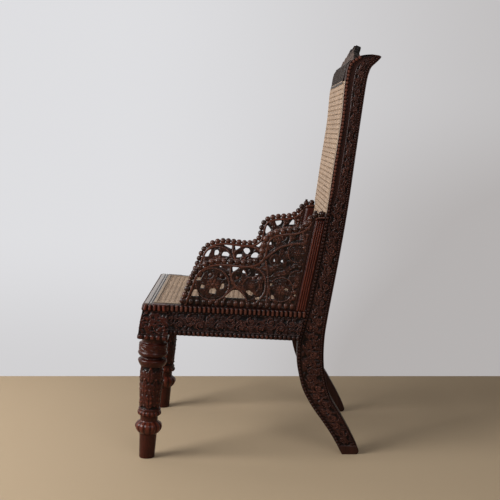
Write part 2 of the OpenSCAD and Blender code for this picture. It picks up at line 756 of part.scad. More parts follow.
module arm_panel() {
    first = edge_keys[0][0] + 5;
    row = batten_front(0) - bead_margin - first;
    row_count = floor(row / foot_row_pitch);
    column = batten_top - 2 * foot_row_height;
    column_count = floor(column / bead_pitch);
    color(wood) difference() {
        on_side() translate([arm_x, 0, 0]) {
            across(ground_sink - arm_thick / 2, arm_thick / 2 - ground_sink) arm_ground();
            across(-arm_thick / 2, arm_thick / 2) arm_raised();
            for (i = [0 : bead_count]) let (p = edge_at(i * edge_length[len(edge) - 1] / bead_count))
                translate([0, p[0], p[1]]) sphere(bead_size / 2, $fn = 24);
            for (i = [0 : row_count])
                translate([0, first + row * i / row_count, 0]) upright_bead();
            for (i = [0 : column_count])
                let (w = foot_row_height + column_inset + column * i / column_count)
                    translate([0, batten_front(w) - column_inset, w])
                        sphere(bead_size / 2 - 1, $fn = 24);
        }
        behind_posts();
        arm_pins(joint_clear / 2);
    }
}
batten_reed_pitch = 7;
module arm_batten() {
    color(wood_red) difference() {
        on_side() translate([arm_x, 0, 0]) intersection() {
            across(-far, far) batten_side();
            union() {
                box([-batten_thick / 2, 0, 0], [batten_thick / 2, far + seat_depth, arm_top]);
                for (i = [0 : 2])
                    translate([batten_thick / 2 - 1,
                               batten_front(reach_down) + batten_reed_pitch * (i + 0.7),
                               reach_down])
                        rotate([-atan(batten_lean), 0, 0])
                            cylinder(h = batten_top - 2 * reach_down, r = reed_radius);
            }
        }
        behind_posts();
        batten_pins(joint_clear / 2);
    }
}

// Carved cresting: scrolls that climb from the posts to a fan of leaves, drawn on a grid of
// these units for half its width and for its height
crest_grid = [173, 71];
module cresting_half() {
    scroll([139, 15], 11, 6, -60, 270, 6);
    scroll([102, 22], 15, 8, 240, -90, 6.5);
    scroll([57, 29], 20, 12, -60, 260, 7);
    rosette([139, 15], 4.5);
    rosette([102, 22], 6.5);
    rosette([57, 29], 10);
    leaf([160, 5], 118, 19, 9, 40);
    leaf([121, 7], 92, 29, 12, 24);
    leaf([81, 9], 84, 41, 13, 30);
    leaf([67, 46], 130, 22, 10, -60);
    leaf([28, 8], 72, 50, 14, 34);
    leaf([16, 8], 64, 44, 12, -50);
}
module cresting_shape() {
    intersection() {
        translate([-post_in + slack, 0]) square([2 * (post_in - slack), cresting_height]);
        offset(r = -fillet, $fn = 8) offset(delta = fillet) union() {
            translate([-far, -5]) square([2 * far, 15]);
            scale([post_in / crest_grid[0], cresting_height / crest_grid[1]]) {
                cresting_half();
                mirror([1, 0]) cresting_half();
                leaf([0, 6], 90, crest_grid[1] - 5, 22, 0);
                spray([0, 8], 90, crest_grid[1] - 24, 13);
            }
        }
    }
}
module cresting() {
    color(wood) difference() {
        on_crest() translate([0, 3 + cresting_thick, 0]) rotate([90, 0, 0])
            linear_extrude(cresting_thick) cresting_shape();
        cresting_pins(joint_clear / 2);
    }
}

// Dowels: under the arm panels, behind the battens and under the cresting
module arm_pins(grow) {
    on_side() for (share = [0.32, 0.59, 0.85])
        translate([arm_x, share * seat_depth, -dowel_length / 2 - grow])
            cylinder(h = dowel_length + 2 * grow, r = peg_radius + grow);
}
module batten_pins(grow) {
    for (z = [post_z + 0.24 * arm_height, post_z + 0.75 * arm_height])
        translate([post_out - 12, front_y(z) + dowel_length / 2 + 2 + grow, z])
            rotate([90, 0, 0]) cylinder(h = dowel_length + 2 * grow, r = peg_radius + grow);
}
module cresting_pins(grow) {
    on_crest() both() for (share = [0.26, 0.75])
        translate([share * post_in, 3 + cresting_thick / 2, 7 + grow - dowel_length])
            cylinder(h = dowel_length, r = peg_radius + grow);
}

// Cane panels and the binding strips over their edges
rim = 2;
function open_span(i, count) =
    [i + (1 - cane_open_share) / 2, i + (1 + cane_open_share) / 2] / count;
function seat_half(y) = side_x - side_rail_thick - rim - y * tan(side_angle);
module seat_openings() {
    y0 = front_rail_thick + rim;
    depth = seat_depth - cane_lap - 2 * rim - y0;
    rows = round(cane_openings * depth / (2 * seat_half(y0 + depth / 2)));
    for (i = [0 : cane_openings - 1]) for (j = [0 : rows - 1])
        let (a = 2 * open_span(i, cane_openings) - [1, 1], y = [y0, y0] + depth * open_span(j, rows))
            polygon([[a[0] * seat_half(y[0]), y[0]], [a[1] * seat_half(y[0]), y[0]],
                     [a[1] * seat_half(y[1]), y[1]], [a[0] * seat_half(y[1]), y[1]]]);
}
module seat_cane() {
    color(cane) on_seat() translate([0, 0, -cane_thick]) linear_extrude(cane_thick)
        difference() {
            seat_shape(0);
            seat_openings();
        }
}
module seat_binding() {
    color(cane) on_seat() linear_extrude(binding_thick) difference() {
        seat_shape(-skin);
        seat_shape(-skin - binding_width);
    }
}
module back_openings() {
    half = post_in - rim;
    z0 = lower_top + rim;
    high = crest_z - rim - z0;
    columns = round(cane_openings * half / seat_half(seat_depth / 2));
    rows = min(12, round(columns * high / (2 * half)));
    for (i = [0 : columns - 1]) for (j = [0 : rows - 1])
        let (a = half * (2 * open_span(i, columns) - [1, 1]), z = [z0, z0] + high * open_span(j, rows))
            translate([a[0], z[0]]) square([a[1] - a[0], z[1] - z[0]]);
}
module back_cane() {
    reach = post_in + cane_lap;
    color(cane) difference() {
        across(-reach, reach)
            polygon(strip(cane_low, cane_high, back_recess, back_recess + cane_thick));
        translate([0, far, 0]) rotate([90, 0, 0]) linear_extrude(far) back_openings();
    }
}
module back_binding() {
    reach = post_in + cane_lap - skin;
    inside = reach - binding_width;
    color(cane) difference() {
        across(-reach, reach) polygon(strip(cane_low + skin, cane_high - skin,
                                            back_recess - binding_thick, back_recess));
        across(-inside, inside) polygon(strip(cane_low + skin + binding_width,
            cane_high - skin - binding_width, back_recess - 5, back_recess + 5));
    }
}

front_leg();  // front_leg_left
mirror([1, 0, 0]) front_leg();  // front_leg_right
rear_post();  // rear_post_left
mirror([1, 0, 0]) rear_post();  // rear_post_right
front_rail();
rear_rail();
side_rail();  // side_rail_left
mirror([1, 0, 0]) side_rail();  // side_rail_right
crest_rail();
cresting();
lower_back_rail();
arm_panel();  // arm_panel_left
mirror([1, 0, 0]) arm_panel();  // arm_panel_right
arm_batten();  // arm_batten_left
mirror([1, 0, 0]) arm_batten();  // arm_batten_right
seat_cane();
seat_binding();
back_cane();
back_binding();
color(wood_red) pegs(0);  // joint_pegs
color(wood_red) both() arm_pins(0);  // arm_dowels
color(wood_red) both() batten_pins(0);  // batten_dowels
color(wood_red) cresting_pins(0);  // cresting_dowels
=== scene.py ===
import math
import bpy
import numpy as np
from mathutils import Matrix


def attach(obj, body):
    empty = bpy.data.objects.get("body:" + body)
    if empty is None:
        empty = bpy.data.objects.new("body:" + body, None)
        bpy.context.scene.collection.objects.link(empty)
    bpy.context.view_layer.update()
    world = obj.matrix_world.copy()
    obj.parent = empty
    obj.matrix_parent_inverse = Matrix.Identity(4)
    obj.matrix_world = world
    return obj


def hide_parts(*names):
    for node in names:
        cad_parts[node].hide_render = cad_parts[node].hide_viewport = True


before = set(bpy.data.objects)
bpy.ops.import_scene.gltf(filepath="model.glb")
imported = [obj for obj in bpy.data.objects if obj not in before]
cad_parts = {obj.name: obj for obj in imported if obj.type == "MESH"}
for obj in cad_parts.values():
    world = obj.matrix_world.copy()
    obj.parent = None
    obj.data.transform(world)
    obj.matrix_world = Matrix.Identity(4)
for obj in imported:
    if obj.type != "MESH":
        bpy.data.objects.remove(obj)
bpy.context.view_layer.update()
print("frame loaded:", len(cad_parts), "nodes")

scene = bpy.context.scene
scene.view_settings.view_transform = "Standard"


def addObject(name, data):
    made = bpy.data.objects.new(name, data)
    scene.collection.objects.link(made)
    return made


# Camera
view = {"place": (2.685, -0.012, 0.8488), "tiltDown": 7.0667, "lens": 69.7, "sensor": 36,
        "nearest": 0.05}


def makeCamera():
    data = bpy.data.cameras.new("camera")
    data.lens = view["lens"]
    data.sensor_width = view["sensor"]
    data.clip_start = view["nearest"]
    camera = addObject("camera", data)
    camera.location = view["place"]
    camera.rotation_euler = (math.radians(90 - view["tiltDown"]), 0, math.radians(90))
    scene.camera = camera


makeCamera()

# The chair's own measures, in millimetres
chair = {
    "seatFront": -282.0, "seatHeight": 411.0, "seatSlope": 4.0, "seatWidth": 522.0,
    "seatDepth": 417.0, "railHeight": 77.0, "railSwell": 8.0, "bandHeight": 18.0,
    "lowBand": 13.0, "reedPitch": 11.6, "frontRailThick": 32.0, "sideRailThick": 34.0,
    "blockHalf": 28.0, "blockSwell": 10.0, "blockHeight": 91.0,
    "postHeight": 1037.0, "postThick": 45.0, "postsWidth": 436.0, "caneLap": 10.0,
}
slope = math.radians(chair["seatSlope"])
legX = chair["seatWidth"] / 2 - chair["blockHalf"]
legY = chair["blockHalf"]
legLength = (chair["seatHeight"] - math.sin(slope) * legY) / math.cos(slope)
postY = chair["seatFront"] + chair["seatDepth"] * math.cos(slope)
postZ = chair["seatHeight"] - chair["seatDepth"] * math.sin(slope)
postOut = chair["postsWidth"] / 2
postIn = postOut - chair["postThick"]
sideX = chair["seatWidth"] / 2 + 2
sideTurn = math.atan((sideX - postOut) / chair["seatDepth"])


def xyz(x, y, z):
    return np.stack(np.broadcast_arrays(x, y, z), -1).astype(float)


def onSeat(p):  # from the seat's frame, which slopes down to the rear
    x, y, z = np.moveaxis(p, -1, 0)
    return xyz(x, chair["seatFront"] + y * math.cos(slope) + z * math.sin(slope),
               chair["seatHeight"] - y * math.sin(slope) + z * math.cos(slope))


def onSide(p):  # from the left rail's frame: x out of the chair, y back along the rail
    x, y, z = np.moveaxis(p, -1, 0)
    c, s = math.cos(sideTurn), math.sin(sideTurn)
    return onSeat(xyz(sideX + x * c - y * s, x * s + y * c, z))


def atEnd(keys, i):
    return keys[max(0, min(len(keys) - 1, i))]


def smoothLine(keys, steps):  # a smooth curve through key points
    keys = np.asarray(keys, float)
    t = np.arange(steps)[:, None] / steps
    parts = []
    for i in range(len(keys) - 1):
        a, b, c, d = (atEnd(keys, i + k) for k in (-1, 0, 1, 2))
        parts.append(0.5 * (2 * b + (c - a) * t + (2 * a - 5 * b + 4 * c - d) * t ** 2
                            + (3 * b - a - 3 * c + d) * t ** 3))
    return np.vstack(parts + [keys[-1:]])


def step01(x, a, b):  # 0 before a, 1 after b, smooth between
    t = np.clip((x - a) / (b - a), 0, 1)
    return t * t * (3 - 2 * t)


def between(x, a, b, c, d):  # rises from a to b and falls from c to d
    return step01(x, a, b) * (1 - step01(x, c, d))


def ridgeAt(x, at, width, height):  # a half-round ridge
    return height * np.sqrt(np.clip(1 - ((x - at) / (width / 2)) ** 2, 0, 1))


def lengthAlong(line):
    return np.concatenate([[0], np.cumsum(np.linalg.norm(np.diff(line, axis=0), axis=1))])


def evenly(line, places):  # points of a line at given shares of its length
    s = lengthAlong(line)
    return np.stack([np.interp(np.asarray(places) * s[-1], s, line[:, k])
                     for k in range(line.shape[1])], -1)


# Outline of the rear posts, as depth behind the seat joint and share of the height
postKeys = {
    "front": [[96, -1], [72, -0.88], [45, -0.77], [16, -0.66], [-8, -0.54], [-21, -0.4],
              [-23, -0.28], [-19, -0.17], [0, 0], [14, 0.1], [33, 0.24], [52, 0.41],
              [66, 0.56], [77, 0.67], [85, 0.755], [90.5, 0.85], [94.5, 0.905],
              [100.5, 0.955], [108.5, 0.9755], [122, 0.9895], [134, 0.9962], [147, 0.9992],
              [160, 1]],
    "back": [[134, -1], [140, -0.97], [119, -0.85], [92, -0.72], [66, -0.6], [51, -0.46],
             [46, -0.33], [48, -0.18], [55, -0.05], [63, 0.04], [86, 0.235], [105, 0.415],
             [121, 0.6], [135, 0.76], [145, 0.87], [149.5, 0.91], [153, 0.93],
             [159, 0.951], [170.5, 0.968], [180.5, 0.983], [183.5, 0.991], [178, 0.9962]],
}


def postLine(keys):
    stile = chair["postHeight"] - postZ
    return smoothLine([[postY + d, postZ + k * (postZ if k < 0 else stile)]
                       for d, k in keys], 12)


frontLine = postLine(postKeys["front"])
backLine = postLine(postKeys["back"])


def frontY(z):
    return np.interp(z, frontLine[:, 1], frontLine[:, 0])


# Materials
def addNode(tree, kind, inputs, **settings):
    n = tree.nodes.new(kind)
    for key, value in settings.items():
        setattr(n, key, value)
    for key, value in inputs.items():
        if isinstance(value, bpy.types.NodeSocket):
            tree.links.new(value, n.inputs[key])
        else:
            n.inputs[key].default_value = value
    return n


def newFinish(name):
    finish = bpy.data.materials.new(name)
    finish.use_nodes = True
    tree = finish.node_tree
    tree.nodes.clear()
    return finish, tree


def blendColours(tree, factor, a, b, how="MIX"):
    n = tree.nodes.new("ShaderNodeMix")
    n.data_type = "RGBA"
    n.blend_type = how
    for socket, value in ((n.inputs[0], factor), (n.inputs[6], a), (n.inputs[7], b)):
        if isinstance(value, bpy.types.NodeSocket):
            tree.links.new(value, socket)
        else:
            socket.default_value = value
    return n.outputs[2]


def rgba(c):
    return (*c, 1.0)


def maths(tree, how, *values):
    return addNode(tree, "ShaderNodeMath", dict(enumerate(values)), operation=how).outputs[0]


def remap(tree, value, start, stop, low=0.0, high=1.0, **settings):
    return addNode(tree, "ShaderNodeMapRange", {
        "Value": value, "From Min": start, "From Max": stop, "To Min": low, "To Max": high},
        **settings).outputs[0]


def noise(tree, place, scale, detail, rough=0.5, **more):
    return addNode(tree, "ShaderNodeTexNoise", dict(
        more, Vector=place, Scale=scale, Detail=detail, Roughness=rough)).outputs[0]


def polish(tree, inputs):
    shader = addNode(tree, "ShaderNodeBsdfPrincipled", inputs)
    addNode(tree, "ShaderNodeOutputMaterial", {"Surface": shader.outputs[0]})


woods = {
    # deep: ground, dust and painted shade; body: polished wood; top: wear and painted highlight
    "carvedWood": {"deep": (0.0040, 0.0013, 0.0010), "body": (0.034, 0.0096, 0.0058),
                   "wearAndHighlight": (0.125, 0.042, 0.027), "grain": (55, 55, 7), "gloss": 0.34},
    "railWood": {"deep": (0.0038, 0.0013, 0.0010), "body": (0.026, 0.0078, 0.0052),
                 "wearAndHighlight": (0.105, 0.034, 0.022), "grain": (55, 7, 55), "gloss": 0.34},
    "turnedWood": {"deep": (0.0045, 0.0014, 0.0010), "body": (0.040, 0.0070, 0.0034),
                   "wearAndHighlight": (0.098, 0.021, 0.011), "grain": (55, 55, 6), "gloss": 0.24,
                   "coat": 0.26},
    "armWood": {"deep": (0.0042, 0.0014, 0.0010), "body": (0.029, 0.0085, 0.0050),
                "wearAndHighlight": (0.100, 0.033, 0.020), "grain": (60, 60, 7), "gloss": 0.30,
                "coat": 0.45},
    "redWood": {"deep": (0.0050, 0.0017, 0.0011), "body": (0.025, 0.0078, 0.0046),
                "wearAndHighlight": (0.075, 0.024, 0.014), "grain": (60, 60, 7), "gloss": 0.26,
                "coat": 0.45},
    "borderWood": {"deep": (0.010, 0.0050, 0.0040), "body": (0.050, 0.026, 0.019),
                   "wearAndHighlight": (0.120, 0.070, 0.052), "grain": (7, 55, 55), "gloss": 0.12,
                   "coat": 1.0, "coatRough": 0.08},
    "crestWood": {"deep": (0.006, 0.0036, 0.0028), "body": (0.028, 0.0180, 0.0142),
                  "wearAndHighlight": (0.095, 0.064, 0.052), "grain": (7, 55, 55), "gloss": 0.46},
}


# What all the woods share: sizes of the figure, and how far each of them alters the finish
figure = {"grainScale": 5.0, "poreScale": 26.0, "patchScale": 17.0, "strokeScale": 420.0,
          "patchWear": 0.34, "strokeWear": 0.16, "plainHeight": 0.62, "deepUnder": 0.32,
          "bodyFrom": 0.80, "wearAndHighlightFrom": 0.97, "dull": 0.62, "patchDull": 0.16, "bump": 0.32,
          "bumpDepth": 0.0007, "shine": 0.08, "coat": 0.2, "coatRough": 0.2}


def makeWood(name, spec, carved=True):
    finish, tree = newFinish(name)
    spec = dict(figure, **spec)
    place = addNode(tree, "ShaderNodeTexCoord", {}).outputs["Object"]
    grainPlace = addNode(tree, "ShaderNodeMapping",
                         {"Vector": place, "Scale": spec["grain"]}).outputs[0]
    grain = noise(tree, grainPlace, spec["grainScale"], 6.0, 0.62, Distortion=0.5)
    pores = noise(tree, grainPlace, spec["poreScale"], 3.0, 0.7)
    patches = noise(tree, place, spec["patchScale"], 3.0)
    strokes = noise(tree, place, spec["strokeScale"], 4.0, 0.6)
    # relief: the carving's height and set shades, painted shade low and painted highlight high
    if carved:
        height = addNode(tree, "ShaderNodeAttribute", {}, attribute_name="relief").outputs["Fac"]
    else:
        height = addNode(tree, "ShaderNodeValue", {}).outputs[0]
        height.default_value = spec["plainHeight"]
    shadeAndWear = maths(tree, "ADD", maths(tree, "MULTIPLY", patches, spec["patchWear"]), height)
    shadeAndWear = maths(tree, "MULTIPLY_ADD", strokes, spec["strokeWear"], shadeAndWear)
    # ramp: painted shade in the ground, body colour, then wear and painted highlight on tops
    ramp = addNode(tree, "ShaderNodeValToRGB", {"Fac": shadeAndWear})
    stops = ramp.color_ramp.elements
    stops[0].position, stops[0].color = spec["deepUnder"], rgba(spec["deep"])
    stops[1].position, stops[1].color = spec["bodyFrom"], rgba(spec["body"])
    for at, part in ((spec["wearAndHighlightFrom"], "body"), (1.0, "wearAndHighlight")):
        stops.new(at).color = rgba(spec[part])
    shadow = maths(tree, "MULTIPLY", remap(tree, grain, 0.3, 0.7, 0.55, 1.35),
                   remap(tree, pores, 0.35, 0.6, 0.72, 1.05))
    grey = addNode(tree, "ShaderNodeCombineColor", {0: shadow, 1: shadow, 2: shadow}).outputs[0]
    colour = blendColours(tree, 1.0, ramp.outputs[0], grey, "MULTIPLY")
    gloss = remap(tree, shadeAndWear, 0.3, 0.95, spec["dull"], spec["gloss"])
    gloss = maths(tree, "MULTIPLY_ADD", patches, spec["patchDull"], gloss)
    bump = addNode(tree, "ShaderNodeBump", {
        "Height": maths(tree, "MULTIPLY_ADD", pores, 0.5, strokes), "Strength": spec["bump"],
        "Distance": spec["bumpDepth"]}).outputs[0]
    polish(tree, {"Base Color": colour, "Roughness": gloss, "Normal": bump,
                  "Specular IOR Level": spec["shine"], "Coat Weight": spec["coat"],
                  "Coat Roughness": spec["coatRough"]})
    return finish


finishes = {name: makeWood(name, spec) for name, spec in woods.items()}
finishes["plainWood"] = makeWood("plainWood", woods["railWood"], carved=False)
finishes["pegWood"] = makeWood("pegWood", woods["redWood"], carved=False)

canes = {
    "caneStrand": {"light": (0.352, 0.243, 0.164), "dark": (0.200, 0.131, 0.084), "gloss": 0.55},
    "caneBinding": {"light": (0.38, 0.28, 0.192), "dark": (0.24, 0.168, 0.112), "gloss": 0.5},
}


def makeCane(name, spec, toned):
    finish, tree = newFinish(name)
    place = addNode(tree, "ShaderNodeTexCoord", {}).outputs["Object"]
    fibres = noise(tree, place, 900.0, 3.0, 0.6)
    stains = noise(tree, place, 22.0, 5.0, 0.6)
    mix = maths(tree, "MULTIPLY_ADD", stains, 0.75, maths(tree, "MULTIPLY", fibres, 0.45))
    if toned:
        tone = addNode(tree, "ShaderNodeAttribute", {}, attribute_name="tone").outputs["Fac"]
        mix = maths(tree, "MULTIPLY_ADD", tone, 0.4, mix)
    mix = remap(tree, mix, 0.42, 1.0)
    colour = blendColours(tree, mix, rgba(spec["dark"]), rgba(spec["light"]))
    bump = addNode(tree, "ShaderNodeBump", {
        "Height": fibres, "Strength": 0.3, "Distance": 0.0004}).outputs[0]
    polish(tree, {"Base Color": colour, "Roughness": spec["gloss"], "Normal": bump})
    return finish


for name, spec in canes.items():
    finishes[name] = makeCane(name, spec, name == "caneStrand")
print("finishes made")

# Carving: shapes raised on a flat canvas, which is then laid over the wood
cutPitch = 4.5  # between the cuts across a band


def canvas(u0, u1, v0, v1, step):
    u = np.arange(u0, u1 + step, step)
    v = np.arange(v0, v1 + step, step)
    uu, vv = np.meshgrid(u, v, indexing="ij")
    return {"u": u, "v": v, "uu": uu, "vv": vv, "step": step,
            "h": np.zeros(uu.shape), "inside": np.full(uu.shape, -50.0)}


def patchOf(c, points, reach):
    low, high = points.min(0) - reach, points.max(0) + reach
    i = np.searchsorted(c["u"], (low[0], high[0]))
    j = np.searchsorted(c["v"], (low[1], high[1]))
    return slice(*i), slice(*j)


def nearLine(c, patch, line):
    # distance to a line, where along it from 0 to 1, and on which side: above 0 on its right
    uu, vv = c["uu"][patch], c["vv"][patch]
    gap = np.full(uu.shape, 1e9)
    along, side = np.zeros(uu.shape), np.zeros(uu.shape)
    for k in range(len(line) - 1):
        a, d = line[k], line[k + 1] - line[k]
        t = np.clip(((uu - a[0]) * d[0] + (vv - a[1]) * d[1]) / (d @ d), 0, 1)
        g = np.hypot(uu - a[0] - t * d[0], vv - a[1] - t * d[1])
        near = g < gap - 1e-9
        gap = np.where(near, g, gap)
        along = np.where(near, (k + t) / (len(line) - 1), along)
        side = np.where(near, d[1] * (uu - a[0]) - d[0] * (vv - a[1]), side)
    return gap, along, np.sign(side)


def liftUp(c, patch, half, gap, top):
    c["h"][patch] = np.maximum(c["h"][patch], np.where(gap < half, top, 0))
    c["inside"][patch] = np.maximum(c["inside"][patch], half - gap)


def band(c, line, widths, height, ribs):
    # a rounded band with cuts across it; its widths stand at even places along the line
    line = np.asarray(line, float)
    widths = np.atleast_1d(widths).astype(float)
    patch = patchOf(c, line, widths.max())
    gap, along, _ = nearLine(c, patch, line)
    half = np.interp(along, np.linspace(0, 1, len(widths)), widths) / 2
    q = np.clip(gap / half, 0, 1)
    cuts = 1 - ribs * np.cos(math.pi * along * lengthAlong(line)[-1] / cutPitch) ** 8
    liftUp(c, patch, half, gap, height * np.sqrt(1 - q ** 2.6) * cuts)


def dome(c, at, r, height):
    at = np.asarray(at, float)
    patch = patchOf(c, at[None], r * 1.1)
    gap = np.hypot(c["uu"][patch] - at[0], c["vv"][patch] - at[1])
    liftUp(c, patch, r, gap, ridgeAt(gap, 0, 2 * r, height))


def scroll(c, at, r0, r1, a0, a1, width, height, ribs=0.35):
    t = np.linspace(0, 1, 34)
    r, a = r0 + (r1 - r0) * t ** 2, np.radians(a0 + (a1 - a0) * t)
    line = np.asarray(at, float) + np.stack([r * np.cos(a), r * np.sin(a)], -1)
    band(c, line, width * (1 - 0.35 * t), height, ribs)
    dome(c, line[-1], width * 0.66, height * 1.15)


def leaf(c, root, heading, length, width, bend, height):
    steps = 14
    turn = np.radians(heading + bend * np.arange(steps) / steps)
    step = length / steps * np.stack([np.cos(turn), np.sin(turn)], -1)
    line = np.vstack([[root], np.asarray(root, float) + np.cumsum(step, 0)])
    patch = patchOf(c, line, width * 0.7 + 1)
    gap, along, _ = nearLine(c, patch, line)
    lobes = np.abs(np.sin(4 * math.pi * along))
    half = (1.5 + width * np.sin(math.pi * along ** 0.8) * (0.8 + 0.2 * lobes)) / 2
    q = np.clip(gap / half, 0, 1)
    vein = 1 - 0.42 * np.exp(-(gap / (0.07 * width + 0.25)) ** 2)
    ribs = 0.86 + 0.14 * np.cos(2 * math.pi * (4 * along - 0.7 * q))
    top = height * (1 - q ** 2.2) ** 0.5 * vein * ribs * (1 - 0.3 * along ** 2)
    liftUp(c, patch, half, gap, top)


def flower(c, at, r, height):  # six petals round a button
    dome(c, at, r * 0.52, height * 0.7)
    for a in np.arange(6) * math.pi / 3:
        centre = (at[0] + 0.62 * r * math.cos(a), at[1] + 0.62 * r * math.sin(a))
        dome(c, centre, r * 0.36, height * 0.85)
    dome(c, at, r * 0.26, height * 1.2)


def readCanvas(c, u, v):  # the canvas at any places, blended between its points
    fu = np.clip((u - c["u"][0]) / c["step"], 0, len(c["u"]) - 1.001)
    fv = np.clip((v - c["v"][0]) / c["step"], 0, len(c["v"]) - 1.001)
    i, j = fu.astype(int), fv.astype(int)
    a, b = fu - i, fv - j
    h = c["h"]
    return ((h[i, j] * (1 - a) + h[i + 1, j] * a) * (1 - b)
            + (h[i, j + 1] * (1 - a) + h[i + 1, j + 1] * a) * b)


def undergrowth(c, size, height, seed):  # small leaves all over, under the larger shapes
    rng = np.random.default_rng(seed)
    for u in np.arange(c["u"][0], c["u"][-1] + size, size):
        for v in np.arange(c["v"][0], c["v"][-1] + size, size):
            at = np.array([u, v]) + rng.uniform(-0.45, 0.45, 2) * size
            heading, bend = rng.uniform(0, 360), rng.uniform(-60, 60)
            leaf(c, at, heading, size * rng.uniform(1.1, 1.6), size * rng.uniform(0.5, 0.72),
                 bend, height * rng.uniform(0.7, 1))


def foliage(c, u0, u1, v0, v1, size, height):
    # a wavy stem with close leaves on both sides and a flower in each of its bends
    seed = 3
    rng = np.random.default_rng(seed)
    undergrowth(c, size * 0.82, height * 0.86, seed)
    mid, half = (v0 + v1) / 2, (v1 - v0) / 2
    waves = max(1, round((u1 - u0) / (half * 2.5)))
    u = np.linspace(u0, u1, waves * 16 + 1)
    turn = (u - u0) / (u1 - u0) * waves * 2 * math.pi
    stem = np.stack([u, mid + 0.5 * half * np.sin(turn)], -1)
    for k in range(2 * waves):
        at = (u0 + (k + 0.5) * (u1 - u0) / (2 * waves), mid + (0.42 if k % 2 else -0.42) * half)
        first = 90 if k % 2 else -90
        scroll(c, at, 0.46 * half, 0.3 * half, first, first + (300 if k % 2 else -300),
               size * 0.26, height * 0.9, 0.5)
        flower(c, at, size * 0.42, height)
    count = int(lengthAlong(stem)[-1] / (size * 0.62))
    places = evenly(stem, (np.arange(count) + 0.5) / count)
    ahead = evenly(stem, np.minimum((np.arange(count) + 0.7) / count, 1)) - places
    for k in range(count):
        heading = math.degrees(math.atan2(ahead[k, 1], ahead[k, 0]))
        side = 1 if k % 2 else -1
        leaf(c, places[k], heading + side * rng.uniform(35, 75), size * rng.uniform(1.1, 1.7),
             size * rng.uniform(0.5, 0.7), side * rng.uniform(-60, 50),
             height * rng.uniform(0.7, 1))
    band(c, stem, size * 0.2, height * 0.85, 0.45)


# Meshes
def outward(points, faces):  # turns a closed shell so that its faces point out
    f = np.asarray(faces)
    a, b, c, d = (points[f[:, k]] for k in (0, 1, 2, 3))
    volume = np.sum(a * np.cross(b, c)) + np.sum(a * np.cross(c, d))
    return f[:, ::-1] if volume < 0 else f


def tube(rings, relief):  # a closed shell over rings of points, (n, m, 3), with end caps
    n, m = rings.shape[:2]
    index = np.arange(n * m).reshape(n, m)
    nxt = np.roll(index, -1, axis=1)
    faces = [np.stack([index[:-1], index[1:], nxt[1:], nxt[:-1]], -1).reshape(-1, 4)]
    for centre, a, b in ((n * m, index[0], nxt[0]), (n * m + 1, nxt[-1], index[-1])):
        hub = np.full(m, centre)
        faces.append(np.stack([hub, a, b, hub], -1))
    points = np.vstack([rings.reshape(-1, 3), rings[0].mean(0), rings[-1].mean(0)])
    return points, outward(points, np.vstack(faces)), np.append(relief.ravel(), [0.5, 0.5])


def slab(top, floor, relief):  # a block with a worked top: grid of points and a lower copy
    n, m = top.shape[:2]
    points = np.vstack([top.reshape(-1, 3), floor.reshape(-1, 3)])
    index = np.arange(n * m).reshape(n, m)
    upper = np.stack([index[:-1, :-1], index[1:, :-1], index[1:, 1:], index[:-1, 1:]], -1)
    upper = upper.reshape(-1, 4)
    rim = np.concatenate([index[:-1, 0], index[-1, :-1], index[:0:-1, -1], index[0, :0:-1]])
    nxt = np.roll(rim, -1)
    walls = np.stack([nxt, rim, rim + n * m, nxt + n * m], -1)
    faces = np.vstack([upper, upper[:, ::-1] + n * m, walls])
    return points, outward(points, faces), np.tile(relief.ravel(), 2)


def makePiece(name, shells, finish, mirror=False):
    # one mesh of shells, each with its points, its faces and its heights as shades
    starts = np.cumsum([0] + [len(points) for points, _, _ in shells])
    points = np.vstack([p for p, _, _ in shells])
    faces = np.vstack([f + start for (_, f, _), start in zip(shells, starts)])
    shade = np.concatenate([d for _, _, d in shells])
    if mirror:
        points = points * (-1, 1, 1)
        faces = faces[:, ::-1]
    rows = [f[:3] if f[0] == f[3] else f for f in faces.tolist()]  # caps are triangles
    mesh = bpy.data.meshes.new(name)
    mesh.from_pydata((points * 0.001).tolist(), [], rows)
    field = mesh.attributes.new("relief", "FLOAT", "POINT")
    field.data.foreach_set("value", np.clip(shade, 0, 1).astype(np.float32))
    mesh.materials.append(finish)
    mesh.shade_smooth()
    mesh.update()
    return addObject(name, mesh)


def settle(piece, slot, *nodes):
    if nodes:
        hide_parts(*nodes)
    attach(piece, "root")


sides = (("left", False), ("right", True))


def bothSides(name, shells, finish, slot, *nodes):  # a left piece and its mirror image
    for side, mirror in sides:
        piece = makePiece(name + "_" + side, shells, finishes[finish], mirror)
        settle(piece, slot, *(node + "_" + side for node in nodes))


# Rear posts
postCarving = {"ground": 3.2, "lift": 4.5, "leafSize": 12.0, "shoe": 23.0, "frontEdge": 1.4,
               "frontBeads": 5.0, "frontBeadRadius": 4.6, "backEdge": 2.4, "backBeads": 6.0,
               "backBeadRadius": 3.0, "beadSpacing": 8.9, "frontField": 13.5, "backField": 10.0,
               "hollow": 0.44, "hollowFrom": (600, 700), "halfCanvas": 18.0, "rings": 980,
               "across": 54}


def postShares(count):  # places along the front and the back that lie opposite each other
    joints = [np.interp(z, line[:, 1], lengthAlong(line)) / lengthAlong(line)[-1]
              for line, z in ((frontLine, postZ), (backLine, postZ - 14))]
    shares = np.linspace(0, 1, count)
    return [evenly(line, np.interp(shares, [0, joints[0], 1], [0, joint, 1]))
            for line, joint in zip((frontLine, backLine), joints)]


postFrontPoints, postBackPoints = postShares(postCarving["rings"])


